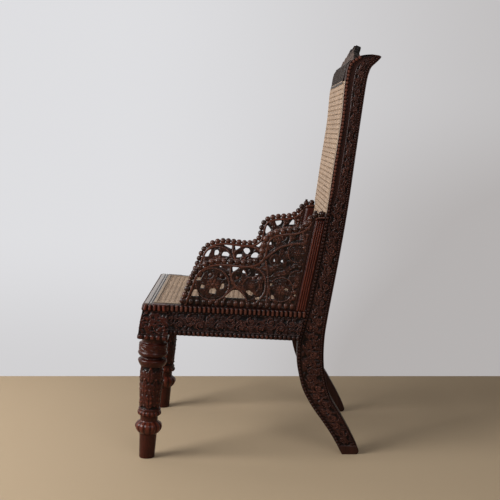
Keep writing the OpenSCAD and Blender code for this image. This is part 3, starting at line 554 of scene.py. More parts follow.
def postShell():
    spec = postCarving
    fronts, backs = postFrontPoints, postBackPoints
    thick = np.linalg.norm(backs - fronts, axis=1)
    s = lengthAlong((fronts + backs) / 2)
    half = spec["halfCanvas"]
    c = canvas(0, s[-1], -half, half, 0.9)
    foliage(c, spec["shoe"] + 6, s[-1] - 6, -half, half, spec["leafSize"], spec["lift"])
    t = np.linspace(0, 1, spec["across"])
    ss, tt = np.meshgrid(s, t, indexing="ij")
    ww = thick[:, None] * np.ones_like(tt)
    front, back = tt * ww, (1 - tt) * ww
    hollow = spec["hollow"] * step01(fronts[:, 1], *spec["hollowFrom"])[:, None]
    low, high = np.maximum(spec["frontField"], hollow * ww), spec["backField"]
    inField = step01(front, low - 1, low) * step01(back, high - 1, high)
    share = np.clip((front - low) / np.maximum(ww - low - high, 4), 0, 1)
    carved = readCanvas(c, ss, half * (2 * share - 1))
    h = -spec["ground"] + carved * inField
    for away, at, width, proud in ((front, 12.2, 2.0, 1.4), (front, low - 1.6, 2.2, 1.6),
                                   (back, high - 1.0, 1.8, 1.4)):  # ridges along the field
        h = np.maximum(h, ridgeAt(away, at, width, proud) - spec["ground"])
    # plain at the shoe, at the tip and along both edges
    plain = 1 - between(ss, spec["shoe"], spec["shoe"] + 1.6, s[-1] - 5, s[-1] - 3.5)
    for away, edge in ((front, spec["frontEdge"]), (back, spec["backEdge"])):
        plain = np.maximum(plain, 1 - step01(away, edge - 0.8, edge + 0.6))
    h = h * (1 - plain) + 0.2 * plain
    # colour from height: painted shade in the ground, wear and painted highlight on the tops
    relief = np.clip(0.08 + (h + spec["ground"]) / 5.0, 0, 1)
    relief = np.where(plain > 0.5, 0.5, relief)
    inHollow = (front > 11) & (front < low - 2.4) & (plain < 0.5)
    relief = np.where(inHollow, np.maximum(relief, 0.46), relief)
    # the outer face, then round the back, inner and front faces
    inset, one = 1.4, np.ones(len(s))
    e = inset / thick
    rest = [(1, postOut - inset), (1, postOut - 14), (1, postIn + 14), (1, postIn + inset),
            (1 - e, postIn), (0.75, postIn), (0.5, postIn), (0.25, postIn), (e, postIn),
            (0, postIn + inset), (0, postIn + 14), (0, postOut - 14), (0, postOut - inset)]
    tt[:, 0], tt[:, -1] = e, 1 - e
    ts = np.column_stack([tt] + [share * one for share, _ in rest])
    xs = np.column_stack([postOut + h] + [x * one for _, x in rest])
    # the back, inner and front faces a little darker than the plain parts: painted shade
    shade = np.column_stack([relief] + [0.4 * one] * len(rest))
    place = fronts[:, None] + (backs - fronts)[:, None] * ts[..., None]
    z = np.maximum(place[..., 1], 0)
    return tube(xyz(xs, place[..., 0], z), shade)


bothSides("carved_post", [postShell()], "carvedWood", "dark_wood", "rear_post")
print("rear posts carved")

# Seat rails
railCarving = {"ground": 3.3, "lift": 4.5, "leafSize": 13.0, "fieldTop": 20.5, "step": 1.15,
               "reedProud": 4.0, "lowProud": 2.8}


def reedRow(u, u0, u1, v, v0, v1, proud):  # heights of upright rounded reeds side by side
    count = max(1, round((u1 - u0) / chair["reedPitch"]))
    pitch = (u1 - u0) / count
    r = 0.45 * pitch
    beyond = np.maximum(np.maximum(v0 + r - v, v - (v1 - r)), 0)
    gap = np.hypot(np.mod(u - u0, pitch) - pitch / 2, beyond)
    return np.where((u > u0) & (u < u1), ridgeAt(gap, 0, 2 * r, proud), 0)


def carvedFace(u, v, u0, u1, height, swell, spec):
    # heights over a rail's or block's face: u along it, v down from the top
    c = canvas(u0, u1, spec["fieldTop"], height - 16, 0.9)
    foliage(c, u0, u1, spec["fieldTop"], height - 15, spec["leafSize"], spec["lift"])
    low = height - chair["lowBand"]
    inside = between(v, spec["fieldTop"] - 1, spec["fieldTop"], low - 3, low - 2)
    h = (readCanvas(c, u, v) - spec["ground"]) * inside
    # colour from height in the field: painted shade in the ground, painted highlight on the tops
    relief = np.where(inside > 0.5, (h + spec["ground"]) / 4.3, 0.55)
    top = reedRow(u, u0, u1, v, -1.5, chair["bandHeight"], spec["reedProud"] + 1.4)
    bottom = reedRow(u, u0, u1, v, low, height + 1, spec["lowProud"] + 1.4)
    inTop, inLow = v < chair["bandHeight"] + 0.5, v > low - 0.5
    reeds = np.where(inLow, bottom - 2.2, np.where(inTop, top - 2.0, 0))
    # reed crowns lighter and the gaps between them darker: painted highlight and shade
    relief = np.where(inTop | inLow, 0.05 + 0.15 * (top + bottom * 1.1), relief)
    t = np.clip((v - chair["bandHeight"]) / (height - chair["bandHeight"] - 5), 0, 1)
    return swell * np.sin(math.pi / 2 * t) + h + reeds, relief


def railShell(place, u0, u1, thick, spec, topLevel=0.0):
    height = chair["railHeight"]
    u = np.arange(u0, u1 + spec["step"], spec["step"])
    v = np.linspace(0.6, height - 1, round(height / spec["step"]))
    uu, vv = np.meshgrid(u, v, indexing="ij")
    h, shade = carvedFace(uu, vv, u0, u1, height, chair["railSwell"], spec)
    lap = thick - chair["caneLap"]
    around = np.array([
        (2, -height), (-12, -height), (-thick + 2, -height), (-thick, -height + 2),
        (-thick, -height / 2), (-thick, -3.2), (-lap, -3.0), (-lap + 0.2, topLevel),
        (-lap / 2, topLevel), (-2.2, topLevel)])
    xs = np.hstack([h, np.tile(around[:, 0], (len(u), 1))])
    zs = np.hstack([-vv, np.tile(around[:, 1], (len(u), 1))])
    shade = np.hstack([shade, np.full((len(u), len(around)), 0.6)])
    return tube(place(xyz(xs, u[:, None], zs)), shade)


def sidePlace(p):  # stops the rail at the front of the post
    q = onSide(p)
    q[..., 1] = np.minimum(q[..., 1], frontY(q[..., 2]) + 0.8)
    return q


def frontPlace(p):  # out of the chair is towards the front
    return onSeat(xyz(p[..., 1], -p[..., 0], p[..., 2]))


sideShell = railShell(sidePlace, 2 * chair["blockHalf"] - 1, chair["seatDepth"] + 3,
                      chair["sideRailThick"], railCarving)
bothSides("carved_rail", [sideShell], "railWood", "dark_wood", "side_rail")

borderKeys = np.array([  # height of the seat's front border against the place behind its edge
    [0, -1.4], [0.8, -0.4], [2, 0], [6, 0.2], [10.4, 0], [11.2, -0.4], [11.8, -2.6],
    [13.6, -2.6], [14.2, -0.4], [16.2, 0.3], [18, -0.4], [18.6, -2.6], [20.2, -2.6],
    [20.8, -0.2], [22, -0.5]])


def borderSlab():
    y = np.linspace(0, borderKeys[-1, 0], 111)
    x = np.linspace(-chair["seatWidth"] / 2, chair["seatWidth"] / 2, 40)
    xx, yy = np.meshgrid(x, y, indexing="ij")
    zz = np.interp(yy, *borderKeys.T)
    # grooves darker, the tops lighter: painted shade and highlight
    relief = np.clip(0.75 + zz * 0.5, 0, 0.9)
    return slab(onSeat(xyz(xx, yy, zz)), onSeat(xyz(xx, yy, -4.0)), relief)


frontSpan = legX - chair["blockHalf"] - 2
frontShell = railShell(frontPlace, -frontSpan, frontSpan, chair["frontRailThick"], railCarving,
                       -1.6)
settle(makePiece("carved_rail_front", [frontShell], finishes["railWood"]), "dark_wood",
       "front_rail")
settle(makePiece("seat_border", [borderSlab()], finishes["borderWood"]), "dark_wood")
print("seat rails carved")

# Front legs
legCarving = {"lobes": 13, "collarLobes": 16, "around": 168, "step": 1.15, "ground": 3.2,
              "lift": 4.6, "girth": 2 * math.pi * 29,
              # the carved zones by height: the shaft and the cabled ring from start to end, the
              # lobed knob and the collar by middle and height
              "shaft": (132.5, 134.5, 243, 245.5), "cable": (286.6, 288, 298, 299.4),
              "knob": (83, 33), "collar": (120.5, 13.2)}


def bulge(z0, z1, r, d):
    a = np.linspace(0, math.pi, 22)
    return [[r + d * math.sin(k), (z0 + z1) / 2 - (z1 - z0) / 2 * math.cos(k)] for k in a]


turning = np.array(
    [[19.2, -4], [19.2, -0.5], [20, 0.9], [21.4, 34], [22.5, 63.5], [23.4, 65], [27.5, 68.5],
     [31, 73.5], [33.4, 79], [34.4, 84], [33.8, 88.5], [31.4, 92.5], [27.6, 95.5], [24, 97.3],
     [22.8, 99.5], [22.6, 106], [23, 112], [24.6, 114]] + bulge(114.6, 126, 27, 3.2)
    + [[28.4, 128], [28.9, 131], [27.6, 133], [28, 160], [30.2, 205], [30.6, 240], [30, 243],
       [31, 245.5], [34.2, 250.5], [36.6, 256], [37.3, 259], [36.8, 261.6], [35, 263.4],
       [28, 264.4], [26.8, 266], [26.8, 269], [28, 270.8], [33.4, 271.6], [36.4, 275],
       [38.3, 278.6], [38.2, 281.4], [36.6, 283.4], [35.9, 285.5], [36.8, 287], [36.9, 299],
       [35.9, 300.4], [36.8, 302], [36.4, 304.2], [34.6, 305.4], [30.6, 306.4], [29.8, 309],
       [30, 316], [31, 321]])


def shaftCanvas(girth):
    # three tiers of upright leaves round the shaft, each set between those below
    c = canvas(-8, girth + 8, 128, 250, 0.8)
    undergrowth(c, 11, legCarving["lift"] * 0.4, 11)
    half = girth / 12
    for tier, (z, length, width) in enumerate(((134, 52, 27), (168, 46, 26), (204, 40, 24))):
        for k in range(-1, 7):
            u = (2 * k + tier % 2) * half
            leaf(c, (u, z), 90, length, width, 0, legCarving["lift"] - 0.25 * tier)
            for side in (-1, 1):
                leaf(c, (u + half, z + 6), 90 - side * 22, length * 0.72, 11, side * 60, 3.6)
                leaf(c, (u + side * 2, z + length * 0.45), 90 - side * 28, length * 0.42, 9,
                     -side * 70, 4.4)
            dome(c, (u, z + length * 0.96), 3.6, 4.6)
            dome(c, (u + half, z + 9), 3.0, 4.2)
    return c


def turnedShell():
    spec = legCarving
    s = lengthAlong(turning)
    line = evenly(turning, np.linspace(0, 1, round(s[-1] / spec["step"])))
    a = np.linspace(0, 2 * math.pi, spec["around"], endpoint=False)
    rr, aa = np.meshgrid(line[:, 0], a, indexing="ij")
    zz = line[:, 1][:, None] * np.ones_like(aa)
    onShaft = between(zz, *spec["shaft"])
    leaves = readCanvas(shaftCanvas(spec["girth"]), aa / (2 * math.pi) * spec["girth"], zz)
    h = (leaves - spec["ground"]) * onShaft
    onKnob = ridgeAt(zz, *spec["knob"], 1)
    lobe = np.sqrt(np.abs(np.cos(aa * spec["lobes"] / 2)))
    h += onKnob * (2.6 * lobe - 1.6)
    onCollar = ridgeAt(zz, *spec["collar"], 1)
    petal = np.sqrt(np.abs(np.cos(aa * spec["collarLobes"] / 2 + 0.4)))
    h += onCollar * (2.4 * petal - 1.4)
    onRing = between(zz, *spec["cable"])
    h -= onRing * 1.3 * np.clip(1.3 * np.cos(aa * 9 + 2.2 * np.sin((zz - 293) / 3.4)), 0, 1)
    # colour: painted shade between leaves, lobes, petals and in the neck; painted highlight on
    # tops
    relief = np.full(zz.shape, 0.62)
    relief = np.where(onShaft > 0.5, leaves / 4.9, relief)
    relief = np.where(onKnob > 0.15, 0.25 + 0.6 * lobe, relief)
    relief = np.where(onCollar > 0.15, 0.2 + 0.6 * petal, relief)
    relief = np.where((zz > 264) & (zz < 271.5), 0.35, relief)
    r = rr + h
    points = onSeat(xyz(legX + r * np.cos(aa), legY + r * np.sin(aa), zz - legLength))
    points[..., 2] = np.maximum(points[..., 2], 0)
    return tube(points, relief)


blockCarving = dict(railCarving, leafSize=10.0)


def blockShell():
    # a square block; its front and outer faces are carved, the others plain
    half, height = chair["blockHalf"], chair["blockHeight"]
    v = np.linspace(0, height, 82)
    u = np.linspace(-half + 0.4, half - 0.4, 54)
    vv, uu = np.meshgrid(v, u, indexing="ij")
    swell = chair["blockSwell"] * np.sin(math.pi / 2 * np.clip(vv / height, 0, 1))
    h, shade = carvedFace(uu, vv, -half, half, height, 0.0, blockCarving)
    grow = (half + swell) / half
    back = np.linspace(len(u) - 1, 0, 8).astype(int)  # the plain faces take fewer points
    plainU, plainV, grown = (uu * grow)[:, back], vv[:, back], (half + swell)[:, back]
    rings = np.concatenate([
        xyz(uu * grow, -(half + swell + h), -vv), xyz(half + swell + h, uu * grow, -vv),
        xyz(plainU, grown, -plainV), xyz(-grown, plainU, -plainV)], 1)
    shades = np.hstack([shade, shade, np.full((len(v), 2 * plainU.shape[1]), 0.6)])
    rings[..., 2] = np.minimum(rings[..., 2], -1.6)
    rings[-1, :, :2] *= 0.94
    return tube(onSeat(rings + (legX, legY, 0)), shades)


def blockCap():  # the top of the block behind the front border
    x = np.linspace(legX - 2, legX + chair["blockHalf"], 12)
    y = np.linspace(21.5, 2 * chair["blockHalf"] + 6, 12)
    xx, yy = np.meshgrid(x, y, indexing="ij")
    return slab(onSeat(xyz(xx, yy, -0.1)), onSeat(xyz(xx, yy, -4.0)), np.full(xx.shape, 0.62))


bothSides("carved_leg", [turnedShell(), blockShell(), blockCap()], "turnedWood", "dark_wood",
          "front_leg")
print("front legs turned and carved")

# Pieces grown by node trees: beads set on points, and strips drawn along lines
def newTree(name, inputs):
    tree = bpy.data.node_groups.new(name, "GeometryNodeTree")
    tree.interface.new_socket("Geometry", in_out="INPUT", socket_type="NodeSocketGeometry")
    for label, kind in inputs:
        tree.interface.new_socket(label, in_out="INPUT", socket_type="NodeSocket" + kind)
    tree.interface.new_socket("Geometry", in_out="OUTPUT", socket_type="NodeSocketGeometry")
    return tree, tree.nodes.new("NodeGroupInput"), tree.nodes.new("NodeGroupOutput")


def readField(tree, name, kind):
    n = addNode(tree, "GeometryNodeInputNamedAttribute", {"Name": name}, data_type=kind)
    return next(s for s in n.outputs if s.enabled and s.name == "Attribute")


def endTree(tree, given, made, shape):
    real = addNode(tree, "GeometryNodeRealizeInstances", {"Geometry": shape.outputs[0]})
    done = addNode(tree, "GeometryNodeSetMaterial", {
        "Geometry": real.outputs[0], "Material": given.outputs["Finish"]})
    tree.links.new(done.outputs[0], made.inputs[0])
    return tree


def makeBeadTree():
    tree, given, made = newTree("beadsOnPoints", [
        ("Segments", "Int"), ("Rings", "Int"), ("Finish", "Material")])
    ball = addNode(tree, "GeometryNodeMeshUVSphere", {
        "Segments": given.outputs["Segments"], "Rings": given.outputs["Rings"], "Radius": 1.0})
    smooth = addNode(tree, "GeometryNodeSetShadeSmooth", {"Geometry": ball.outputs[0]})
    turn = addNode(tree, "FunctionNodeEulerToRotation",
                   {0: readField(tree, "turn", "FLOAT_VECTOR")})
    beads = addNode(tree, "GeometryNodeInstanceOnPoints", {
        "Points": given.outputs["Geometry"], "Instance": smooth.outputs[0],
        "Rotation": turn.outputs[0], "Scale": readField(tree, "size", "FLOAT_VECTOR")})
    return endTree(tree, given, made, beads)


def makeStripTree():
    tree, given, made = newTree("stripsOnLines", [
        ("Width", "Float"), ("Thickness", "Float"), ("Finish", "Material")])
    curve = addNode(tree, "GeometryNodeMeshToCurve", {"Mesh": given.outputs["Geometry"]})
    up = addNode(tree, "GeometryNodeSetCurveNormal", {"Curve": curve.outputs[0]}, mode="Z_UP")
    flat = addNode(tree, "GeometryNodeCurvePrimitiveCircle", {"Resolution": 4, "Radius": 0.5})
    stretch = addNode(tree, "ShaderNodeCombineXYZ", {
        "X": given.outputs["Width"], "Y": given.outputs["Thickness"], "Z": 1.0})
    shape = addNode(tree, "GeometryNodeTransform", {
        "Geometry": flat.outputs[0], "Scale": stretch.outputs[0]})
    strip = addNode(tree, "GeometryNodeCurveToMesh", {
        "Curve": up.outputs[0], "Profile Curve": shape.outputs[0], "Fill Caps": True})
    return endTree(tree, given, made, strip)


def grow(name, mesh, tree, values):
    holder = addObject(name + "_lines", mesh)
    change = holder.modifiers.new("grow", "NODES")
    change.node_group = tree
    for socket in tree.interface.items_tree:
        if socket.in_out == "INPUT" and socket.name in values:
            change[socket.identifier] = values[socket.name]
    bpy.context.view_layer.update()
    seen = holder.evaluated_get(bpy.context.evaluated_depsgraph_get())
    made = bpy.data.meshes.new_from_object(seen)
    holder.modifiers.clear()
    bpy.data.objects.remove(holder)
    made.name = name
    return addObject(name, made)


beadTree = makeBeadTree()
stripTree = makeStripTree()


def beads(name, places, turns, sizes, finish, segments, rings, shades):
    # a left set of beads and its mirror image: places and sizes in millimetres, each bead's
    # third axis turned by turns, in radians
    for side, mirror in sides:
        mesh = bpy.data.meshes.new(name)
        at = np.asarray(places) * (-0.001 if mirror else 0.001, 0.001, 0.001)
        mesh.from_pydata(at.tolist(), [], [])
        for field, rows in (("turn", turns), ("size", np.asarray(sizes) * 0.001)):
            data = mesh.attributes.new(field, "FLOAT_VECTOR", "POINT")
            data.data.foreach_set("vector", np.asarray(rows, np.float32).ravel())
        piece = grow(name + "_" + side, mesh, beadTree, {
            "Segments": segments, "Rings": rings, "Finish": finishes[finish]})
        field = piece.data.attributes.new("relief", "FLOAT", "POINT")
        each = len(piece.data.vertices) // len(places)
        relief = np.repeat(np.broadcast_to(shades, len(places)), each)
        field.data.foreach_set("value", relief.astype(np.float32))
        settle(piece, "dark_wood")


# Arm panels: scrollwork pierced through, on a canvas of places along and above the side rail
arm = {"offset": -13.0, "height": 254.0, "battenWidth": 25.0, "battenLean": 0.143,
       "beadSize": 16.0, "beadPitch": 16.2, "band": 7.0, "footHeight": 19.0, "footPitch": 16.2,
       "half": 3.4, "lift": 3.1, "step": 1.15, "growth": 11.5, "seed": 5, "columnLift": 1.6,
       "bandLift": (0.4, 2.6),
       "edge": [[99, 11], [106, 32], [114, 58], [122, 80], [134, 97], [156, 111], [184, 118],
                [218, 118], [252, 117], [276, 121], [291, 133], [296, 152], [299, 172],
                [307, 188], [323, 199], [348, 205], [376, 209], [396, 217], [408, 231],
                [417, 244], [429, 252], [442, 254]]}
battenTop = arm["height"] - arm["beadSize"]
armEdge = smoothLine(arm["edge"], 3)


def battenFront(w):
    return chair["seatDepth"] - arm["battenWidth"] + arm["battenLean"] * w


def wheel(c, at, r, width, first, petals, h):  # a ring round a flower with leaves as spokes
    scroll(c, at, r, r * 0.95, first, first + 352, width * 0.62, h, 0.5)
    scroll(c, at, r * 0.84, r * 0.8, first, first + 352, width * 0.3, h * 0.7, 0.7)
    for k in range(petals):
        leaf(c, at, first + 20 + 360 * k / petals, r, r * 0.5, 30 - 60 * (k % 2), h * 0.9)
    flower(c, at, r * 0.36, h * 1.1)


# Openings pierced through the panel, each by its corners
armOpenings = (
    ((119, 24), (140, 24), (133, 43), (125, 41)), ((128, 65), (141, 66), (150, 90), (138, 83)),
    ((159, 71), (171, 74), (174, 83), (169, 90), (160, 86)),
    ((181, 72), (203, 71), (206, 78), (199, 85), (186, 84)),
    ((142, 46), (151, 45), (153, 54), (144, 56)),
    ((164, 34), (181, 32), (184, 41), (179, 48), (167, 46)),
    ((191, 44), (202, 48), (203, 60), (196, 62)), ((182, 107), (212, 108), (211, 94), (197, 99)),
    ((220, 108), (241, 108), (233, 98), (223, 92)),
    ((204, 24), (260, 24), (250, 37), (239, 46), (226, 46), (214, 36)),
    ((226, 70), (237, 71), (244, 76), (243, 82), (229, 80)),
    ((246, 95), (253, 102), (264, 101), (268, 93), (260, 82), (253, 84)),
    ((270, 74), (281, 73), (293, 76), (296, 83), (290, 90), (282, 91), (273, 83)),
    ((259, 45), (268, 47), (280, 39), (277, 32), (266, 35)),
    ((283, 23), (296, 22), (296, 30), (287, 31)),
    ((284, 110), (292, 107), (303, 120), (299, 126), (290, 119)),
    ((321, 60), (327, 61), (327, 71), (321, 70)), ((340, 66), (349, 68), (348, 79), (342, 77)),
    ((361, 70), (369, 64), (374, 68), (366, 77)), ((358, 51), (371, 50), (368, 57), (360, 57)),
    ((321, 118), (331, 117), (328, 133), (322, 132)),
    ((343, 122), (351, 123), (350, 131), (345, 130)),
    ((370, 112), (377, 116), (379, 126), (373, 122)),
    ((307, 172), (314, 180), (319, 173), (331, 166), (322, 156), (311, 149), (308, 158)),
    ((336, 191), (352, 195), (357, 192), (353, 182), (343, 176), (339, 182)),
    ((377, 182), (383, 191), (389, 200), (394, 197), (394, 184)),
    ((351, 149), (359, 148), (359, 157), (352, 158)),
    ((325, 27), (336, 25), (333, 35), (326, 38)), ((385, 29), (393, 25), (391, 43), (385, 42)),
    ((393, 100), (401, 104), (400, 116), (394, 112)))


def armScrollwork(c, h):
    for at, r, width, first, petals in (
            ((172, 57), 43, 8.5, -70, 8), ((272, 60), 22, 6, 40, 7), ((350, 52), 32, 7, 0, 7),
            ((386, 150), 25, 7, 30, 7), ((331, 128), 15, 5, 90, 5), ((389, 84), 20, 6, 20, 6)):
        wheel(c, at, r, width, first, petals, h)
    for line, widths in (
            ([(216, 114), (216, 100), (216, 84)], (9, 6.5, 10)),
            ([(204, 16), (214, 38), (228, 52)], (8, 9, 12)),
            ([(264, 16), (254, 36), (238, 50), (224, 66), (219, 82), (230, 97), (250, 107),
              (272, 107), (291, 100), (304, 86), (309, 66), (308, 44), (300, 30), (290, 16)],
             (8, 9, 13, 10) + (8,) * 10),
            ([(314, 14), (315, 40), (315, 70), (311, 100), (306, 122)], (9, 7, 7, 8, 12)),
            ([(304, 132), (318, 145), (336, 160), (354, 168), (376, 174), (404, 176)],
             (12, 9, 9, 9, 9, 12)),
            ([(404, 178), (398, 190), (396, 206)], (8, 7, 8)),
            ([(362, 174), (366, 186), (362, 204)], (7, 8, 10))):
        band(c, smoothLine(line, 4), 0.74 * np.array(widths), h, 0.5)
    for root, heading, length, width, bend in (
            ((280, 108), -4, 74, 17, 6), ((117, 18), 92, 46, 12, -70),
            ((126, 60), 70, 44, 10, -50), ((228, 52), 100, 34, 15, 20),
            ((236, 56), 40, 40, 15, 20), ((232, 54), -10, 34, 13, 30),
            ((296, 60), 84, 34, 12, -30), ((300, 44), 110, 30, 11, -40),
            ((240, 52), 0, 30, 12, -60), ((250, 64), 80, 26, 10, 40),
            ((292, 34), 150, 30, 11, -40), ((322, 84), 30, 62, 15, -40),
            ((318, 96), 60, 40, 13, -60), ((344, 92), 20, 40, 14, 40),
            ((318, 44), 80, 30, 10, 30), ((318, 18), 60, 30, 11, -40),
            ((344, 16), 130, 26, 11, 40), ((372, 18), 60, 34, 12, 50),
            ((396, 20), 100, 44, 12, -20), ((382, 56), 70, 40, 13, -40),
            ((404, 96), 96, 48, 15, 16), ((360, 100), 50, 40, 14, -40),
            ((356, 112), 90, 34, 12, 40), ((340, 138), 60, 30, 12, 40),
            ((362, 132), 100, 36, 12, -30), ((318, 150), 100, 20, 8, -30),
            ((322, 176), 60, 28, 12, -50), ((330, 166), 60, 30, 11, 30),
            ((366, 180), 60, 30, 12, 20), ((410, 130), 92, 50, 14, 10),
            ((402, 176), 80, 40, 14, 20), ((296, 128), 60, 30, 10, 40)):
        leaf(c, root, heading, length, width, bend, h)


def pierce(c, inside, corners):  # cuts a soft-cornered opening out of the plate
    soft, p = 1.1, np.array(corners, float)
    d = np.roll(p, -1, 0) - p
    turn = np.sign(np.sum(d[:, 0] * np.roll(d, -1, 0)[:, 1] - d[:, 1] * np.roll(d, -1, 0)[:, 0]))
    total = 0
    for k in range(len(p)):
        n = np.array([d[k, 1], -d[k, 0]]) * turn / np.hypot(*d[k])
        total = total + np.exp(((c["uu"] - p[k, 0]) * n[0] + (c["vv"] - p[k, 1]) * n[1]) / soft)
    return np.minimum(inside, soft * np.log(total))


def cutOut(c, inside, half, place):
    # the canvas as a pierced plate: cells inside, snapped to the outline, with both faces
    # raised by the canvas heights, and walls between them
    keep = (inside[:-1, :-1] + inside[1:, :-1] + inside[:-1, 1:] + inside[1:, 1:]) > 0
    for _ in range(3):  # two cells that meet only at a corner get a third beside them
        a, b, d, e = keep[:-1, :-1], keep[1:, 1:], keep[1:, :-1], keep[:-1, 1:]
        keep[:-1, 1:] |= a & b & ~d & ~e
        keep[:-1, :-1] |= d & e & ~a & ~b
    gu, gv = np.gradient(inside, *c.get("steps", (c["step"], c["step"])))
    slopeSize = np.maximum(gu ** 2 + gv ** 2, 0.2)
    used = np.zeros(inside.shape, bool)
    free = np.zeros(inside.shape, bool)
    full = np.zeros((keep.shape[0] + 2, keep.shape[1] + 2), bool)
    full[1:-1, 1:-1] = keep
    for i in (0, 1):
        for j in (0, 1):
            corner = full[i:i + inside.shape[0], j:j + inside.shape[1]]
            used |= corner
            free |= ~corner
    rim = used & free
    move = np.where(rim, -inside / slopeSize, 0)
    size = np.hypot(move * gu, move * gv)
    move *= np.minimum(1, 0.75 * c["step"] / np.maximum(size, 1e-6))
    uu, vv = c["uu"] + move * gu, c["vv"] + move * gv
    number = np.full(inside.shape, -1)
    number[used] = np.arange(used.sum())
    lift = np.where(rim, np.minimum(c["h"], 0.5), c["h"])[used]
    u, v = uu[used], vv[used]
    n = len(u)
    points = np.vstack([place(xyz(half + lift, u, v)), place(xyz(-half - lift, u, v))])
    i, j = np.nonzero(keep)
    cells = np.stack([number[i, j], number[i + 1, j], number[i + 1, j + 1], number[i, j + 1]], -1)
    walls = []
    for di, dj, p, q in ((0, -1, (0, 0), (1, 0)), (1, 0, (1, 0), (1, 1)),
                         (0, 1, (1, 1), (0, 1)), (-1, 0, (0, 1), (0, 0))):
        beside = full[1 + di:1 + di + keep.shape[0], 1 + dj:1 + dj + keep.shape[1]]
        a, b = np.nonzero(keep & ~beside)
        p1, q1 = number[a + p[0], b + p[1]], number[a + q[0], b + q[1]]
        walls.append(np.stack([q1, p1, p1 + n, q1 + n], -1))
    faces = np.vstack([cells, cells[:, ::-1] + n] + walls)
    # colour from height: painted shade low and at the rims, painted highlight on raised parts
    shade = np.clip(0.12 + 0.27 * lift, 0, 1)
    return points, outward(points, faces), np.tile(shade, 2)


def armPlace(p):
    q = onSide(p + (arm["offset"], 0, 0))
    q[..., 1] = np.minimum(q[..., 1], frontY(q[..., 2]) - 0.4)
    return q


def armShell():
    c = canvas(85, 452, 0, 262, arm["step"])
    undergrowth(c, arm["growth"], arm["lift"] * 0.78, arm["seed"])
    armScrollwork(c, arm["lift"])
    uu, vv = c["uu"], c["vv"]
    inner = arm["beadSize"] / 2 - 2.5
    ends = [arm["edge"][0][0] - 9, -40], [chair["seatDepth"] + 90, arm["height"]]
    gap, _, side = nearLine(c, np.s_[:, :], np.vstack([ends[0], armEdge, ends[1]]))
    depth = gap * side
    work = depth - inner
    rim = np.minimum(work, inner + arm["band"] - depth)
    foot = np.minimum(arm["footHeight"] - vv, uu - arm["edge"][0][0] + 4)
    beside = np.minimum(uu - battenFront(vv) + 7, battenFront(vv) - uu)
    for corners in armOpenings:
        work = pierce(c, work, corners)
    inside = np.maximum(np.maximum(work, rim), np.maximum(foot, beside))
    across = np.where(vv < battenTop, battenFront(vv) - uu, battenFront(vv) + 60 - uu)
    inside = np.minimum(inside, np.minimum(across, vv + 0.01))
    q = np.clip((depth - inner - arm["band"] / 2) / (arm["band"] / 2), -1, 1)
    low, rise = arm["bandLift"]
    ridge = np.where(rim > 0, rise * np.sqrt(1 - q ** 2) + low, 0)
    c["h"] = np.maximum(c["h"] * (work > 0), ridge)
    c["h"] = np.where(beside > 0, arm["columnLift"], c["h"])
    # the panel ends where the front of the post stands
    world = onSide(xyz(arm["offset"], uu, vv))
    inside = np.minimum(inside, frontY(world[..., 2]) - world[..., 1] - 0.2)
    return cutOut(c, inside, arm["half"], armPlace)


def armBeads():  # along the edge, upright at the foot, and in a column by the batten
    r = arm["beadSize"] / 2
    flat = (0, math.pi / 2, 0)
    count = int(lengthAlong(armEdge)[-1] / arm["beadPitch"])
    rows = [((0, u, v), flat, (1.05 * r, 1.05 * r, r))
            for u, v in evenly(armEdge, np.arange(count + 1) / count)]
    first = arm["edge"][0][0] + 5
    length = battenFront(0) - 9 - first
    count = int(length / arm["footPitch"])
    rows += [((0, first + length * k / count, arm["footHeight"] / 2), (0, 0, 0), (7.5, 7.5, 10))
             for k in range(count + 1)]
    length = battenTop - 2 * arm["footHeight"]
    count = int(length / arm["beadPitch"])
    for w in arm["footHeight"] + 12 + length * np.arange(count + 1) / count:
        rows.append(((0, battenFront(w) - 12, w), flat, (r - 1, r - 1, r - 1)))
    spots, turns, sizes = (np.array(part) for part in zip(*rows))
    beads("arm_beads", onSide(spots + (arm["offset"], 0, 0)), turns - (slope, 0, 0), sizes,
          "redWood", 16, 10, 0.74)


batten = {"width": 34.0, "half": 11.0, "reeds": 4, "reedFirst": 4.2, "reedPitch": 5.6,
          "reedWidth": 5.3, "reedProud": 2.8}


def battenShell():
    # a reeded strip that leans with the post
    w = np.linspace(0, battenTop, 48)
    v = np.linspace(0, batten["width"], 86)
    ww, vv = np.meshgrid(w, v, indexing="ij")
    reeds = sum(ridgeAt(vv, batten["reedFirst"] + batten["reedPitch"] * k, batten["reedWidth"],
                        batten["reedProud"]) for k in range(batten["reeds"]))
    back = np.linspace(len(v) - 1, 0, 4).astype(int)
    plain = np.ones((len(w), 4))
    out = np.hstack([batten["half"] - 1 + reeds, -batten["half"] * plain])
    uu, ww = (np.hstack([grid, grid[:, back]]) for grid in (battenFront(ww) + vv, ww))
    # reed crowns lighter than the gaps: painted highlight and shade
    shade = np.hstack([0.35 + 0.16 * reeds, 0.6 * plain])
    return tube(armPlace(xyz(out, uu, ww)), shade)


bothSides("arm_scrollwork", [armShell()], "armWood", "dark_wood", "arm_panel")
bothSides("reeded_batten", [battenShell()], "turnedWood", "red_wood", "arm_batten")
armBeads()
print("arms pierced, beaded and reeded")

# The crest rail's cresting, the crest rail and the lower back rail
crest = {"drop": 11.0, "height": 60.0, "proud": 4.0, "thick": 27.0, "top": 56.0, "through": 20.0,
         "lean": 22.0, "grid": (173.0, 71.0), "step": 1.1, "half": 6.0, "lift": 3.6, "foot": 10.0}
lower = {"above": 62.0, "height": 46.0, "thick": 26.0}
crossCarving = {"ground": 2.6, "lift": 3.2, "leafSize": 10.0, "edge": 7.0}
crestTop = chair["postHeight"] - crest["drop"]
crestLow = crestTop - crest["height"]
lowerLow = postZ + lower["above"]
lowerTop = lowerLow + lower["height"]


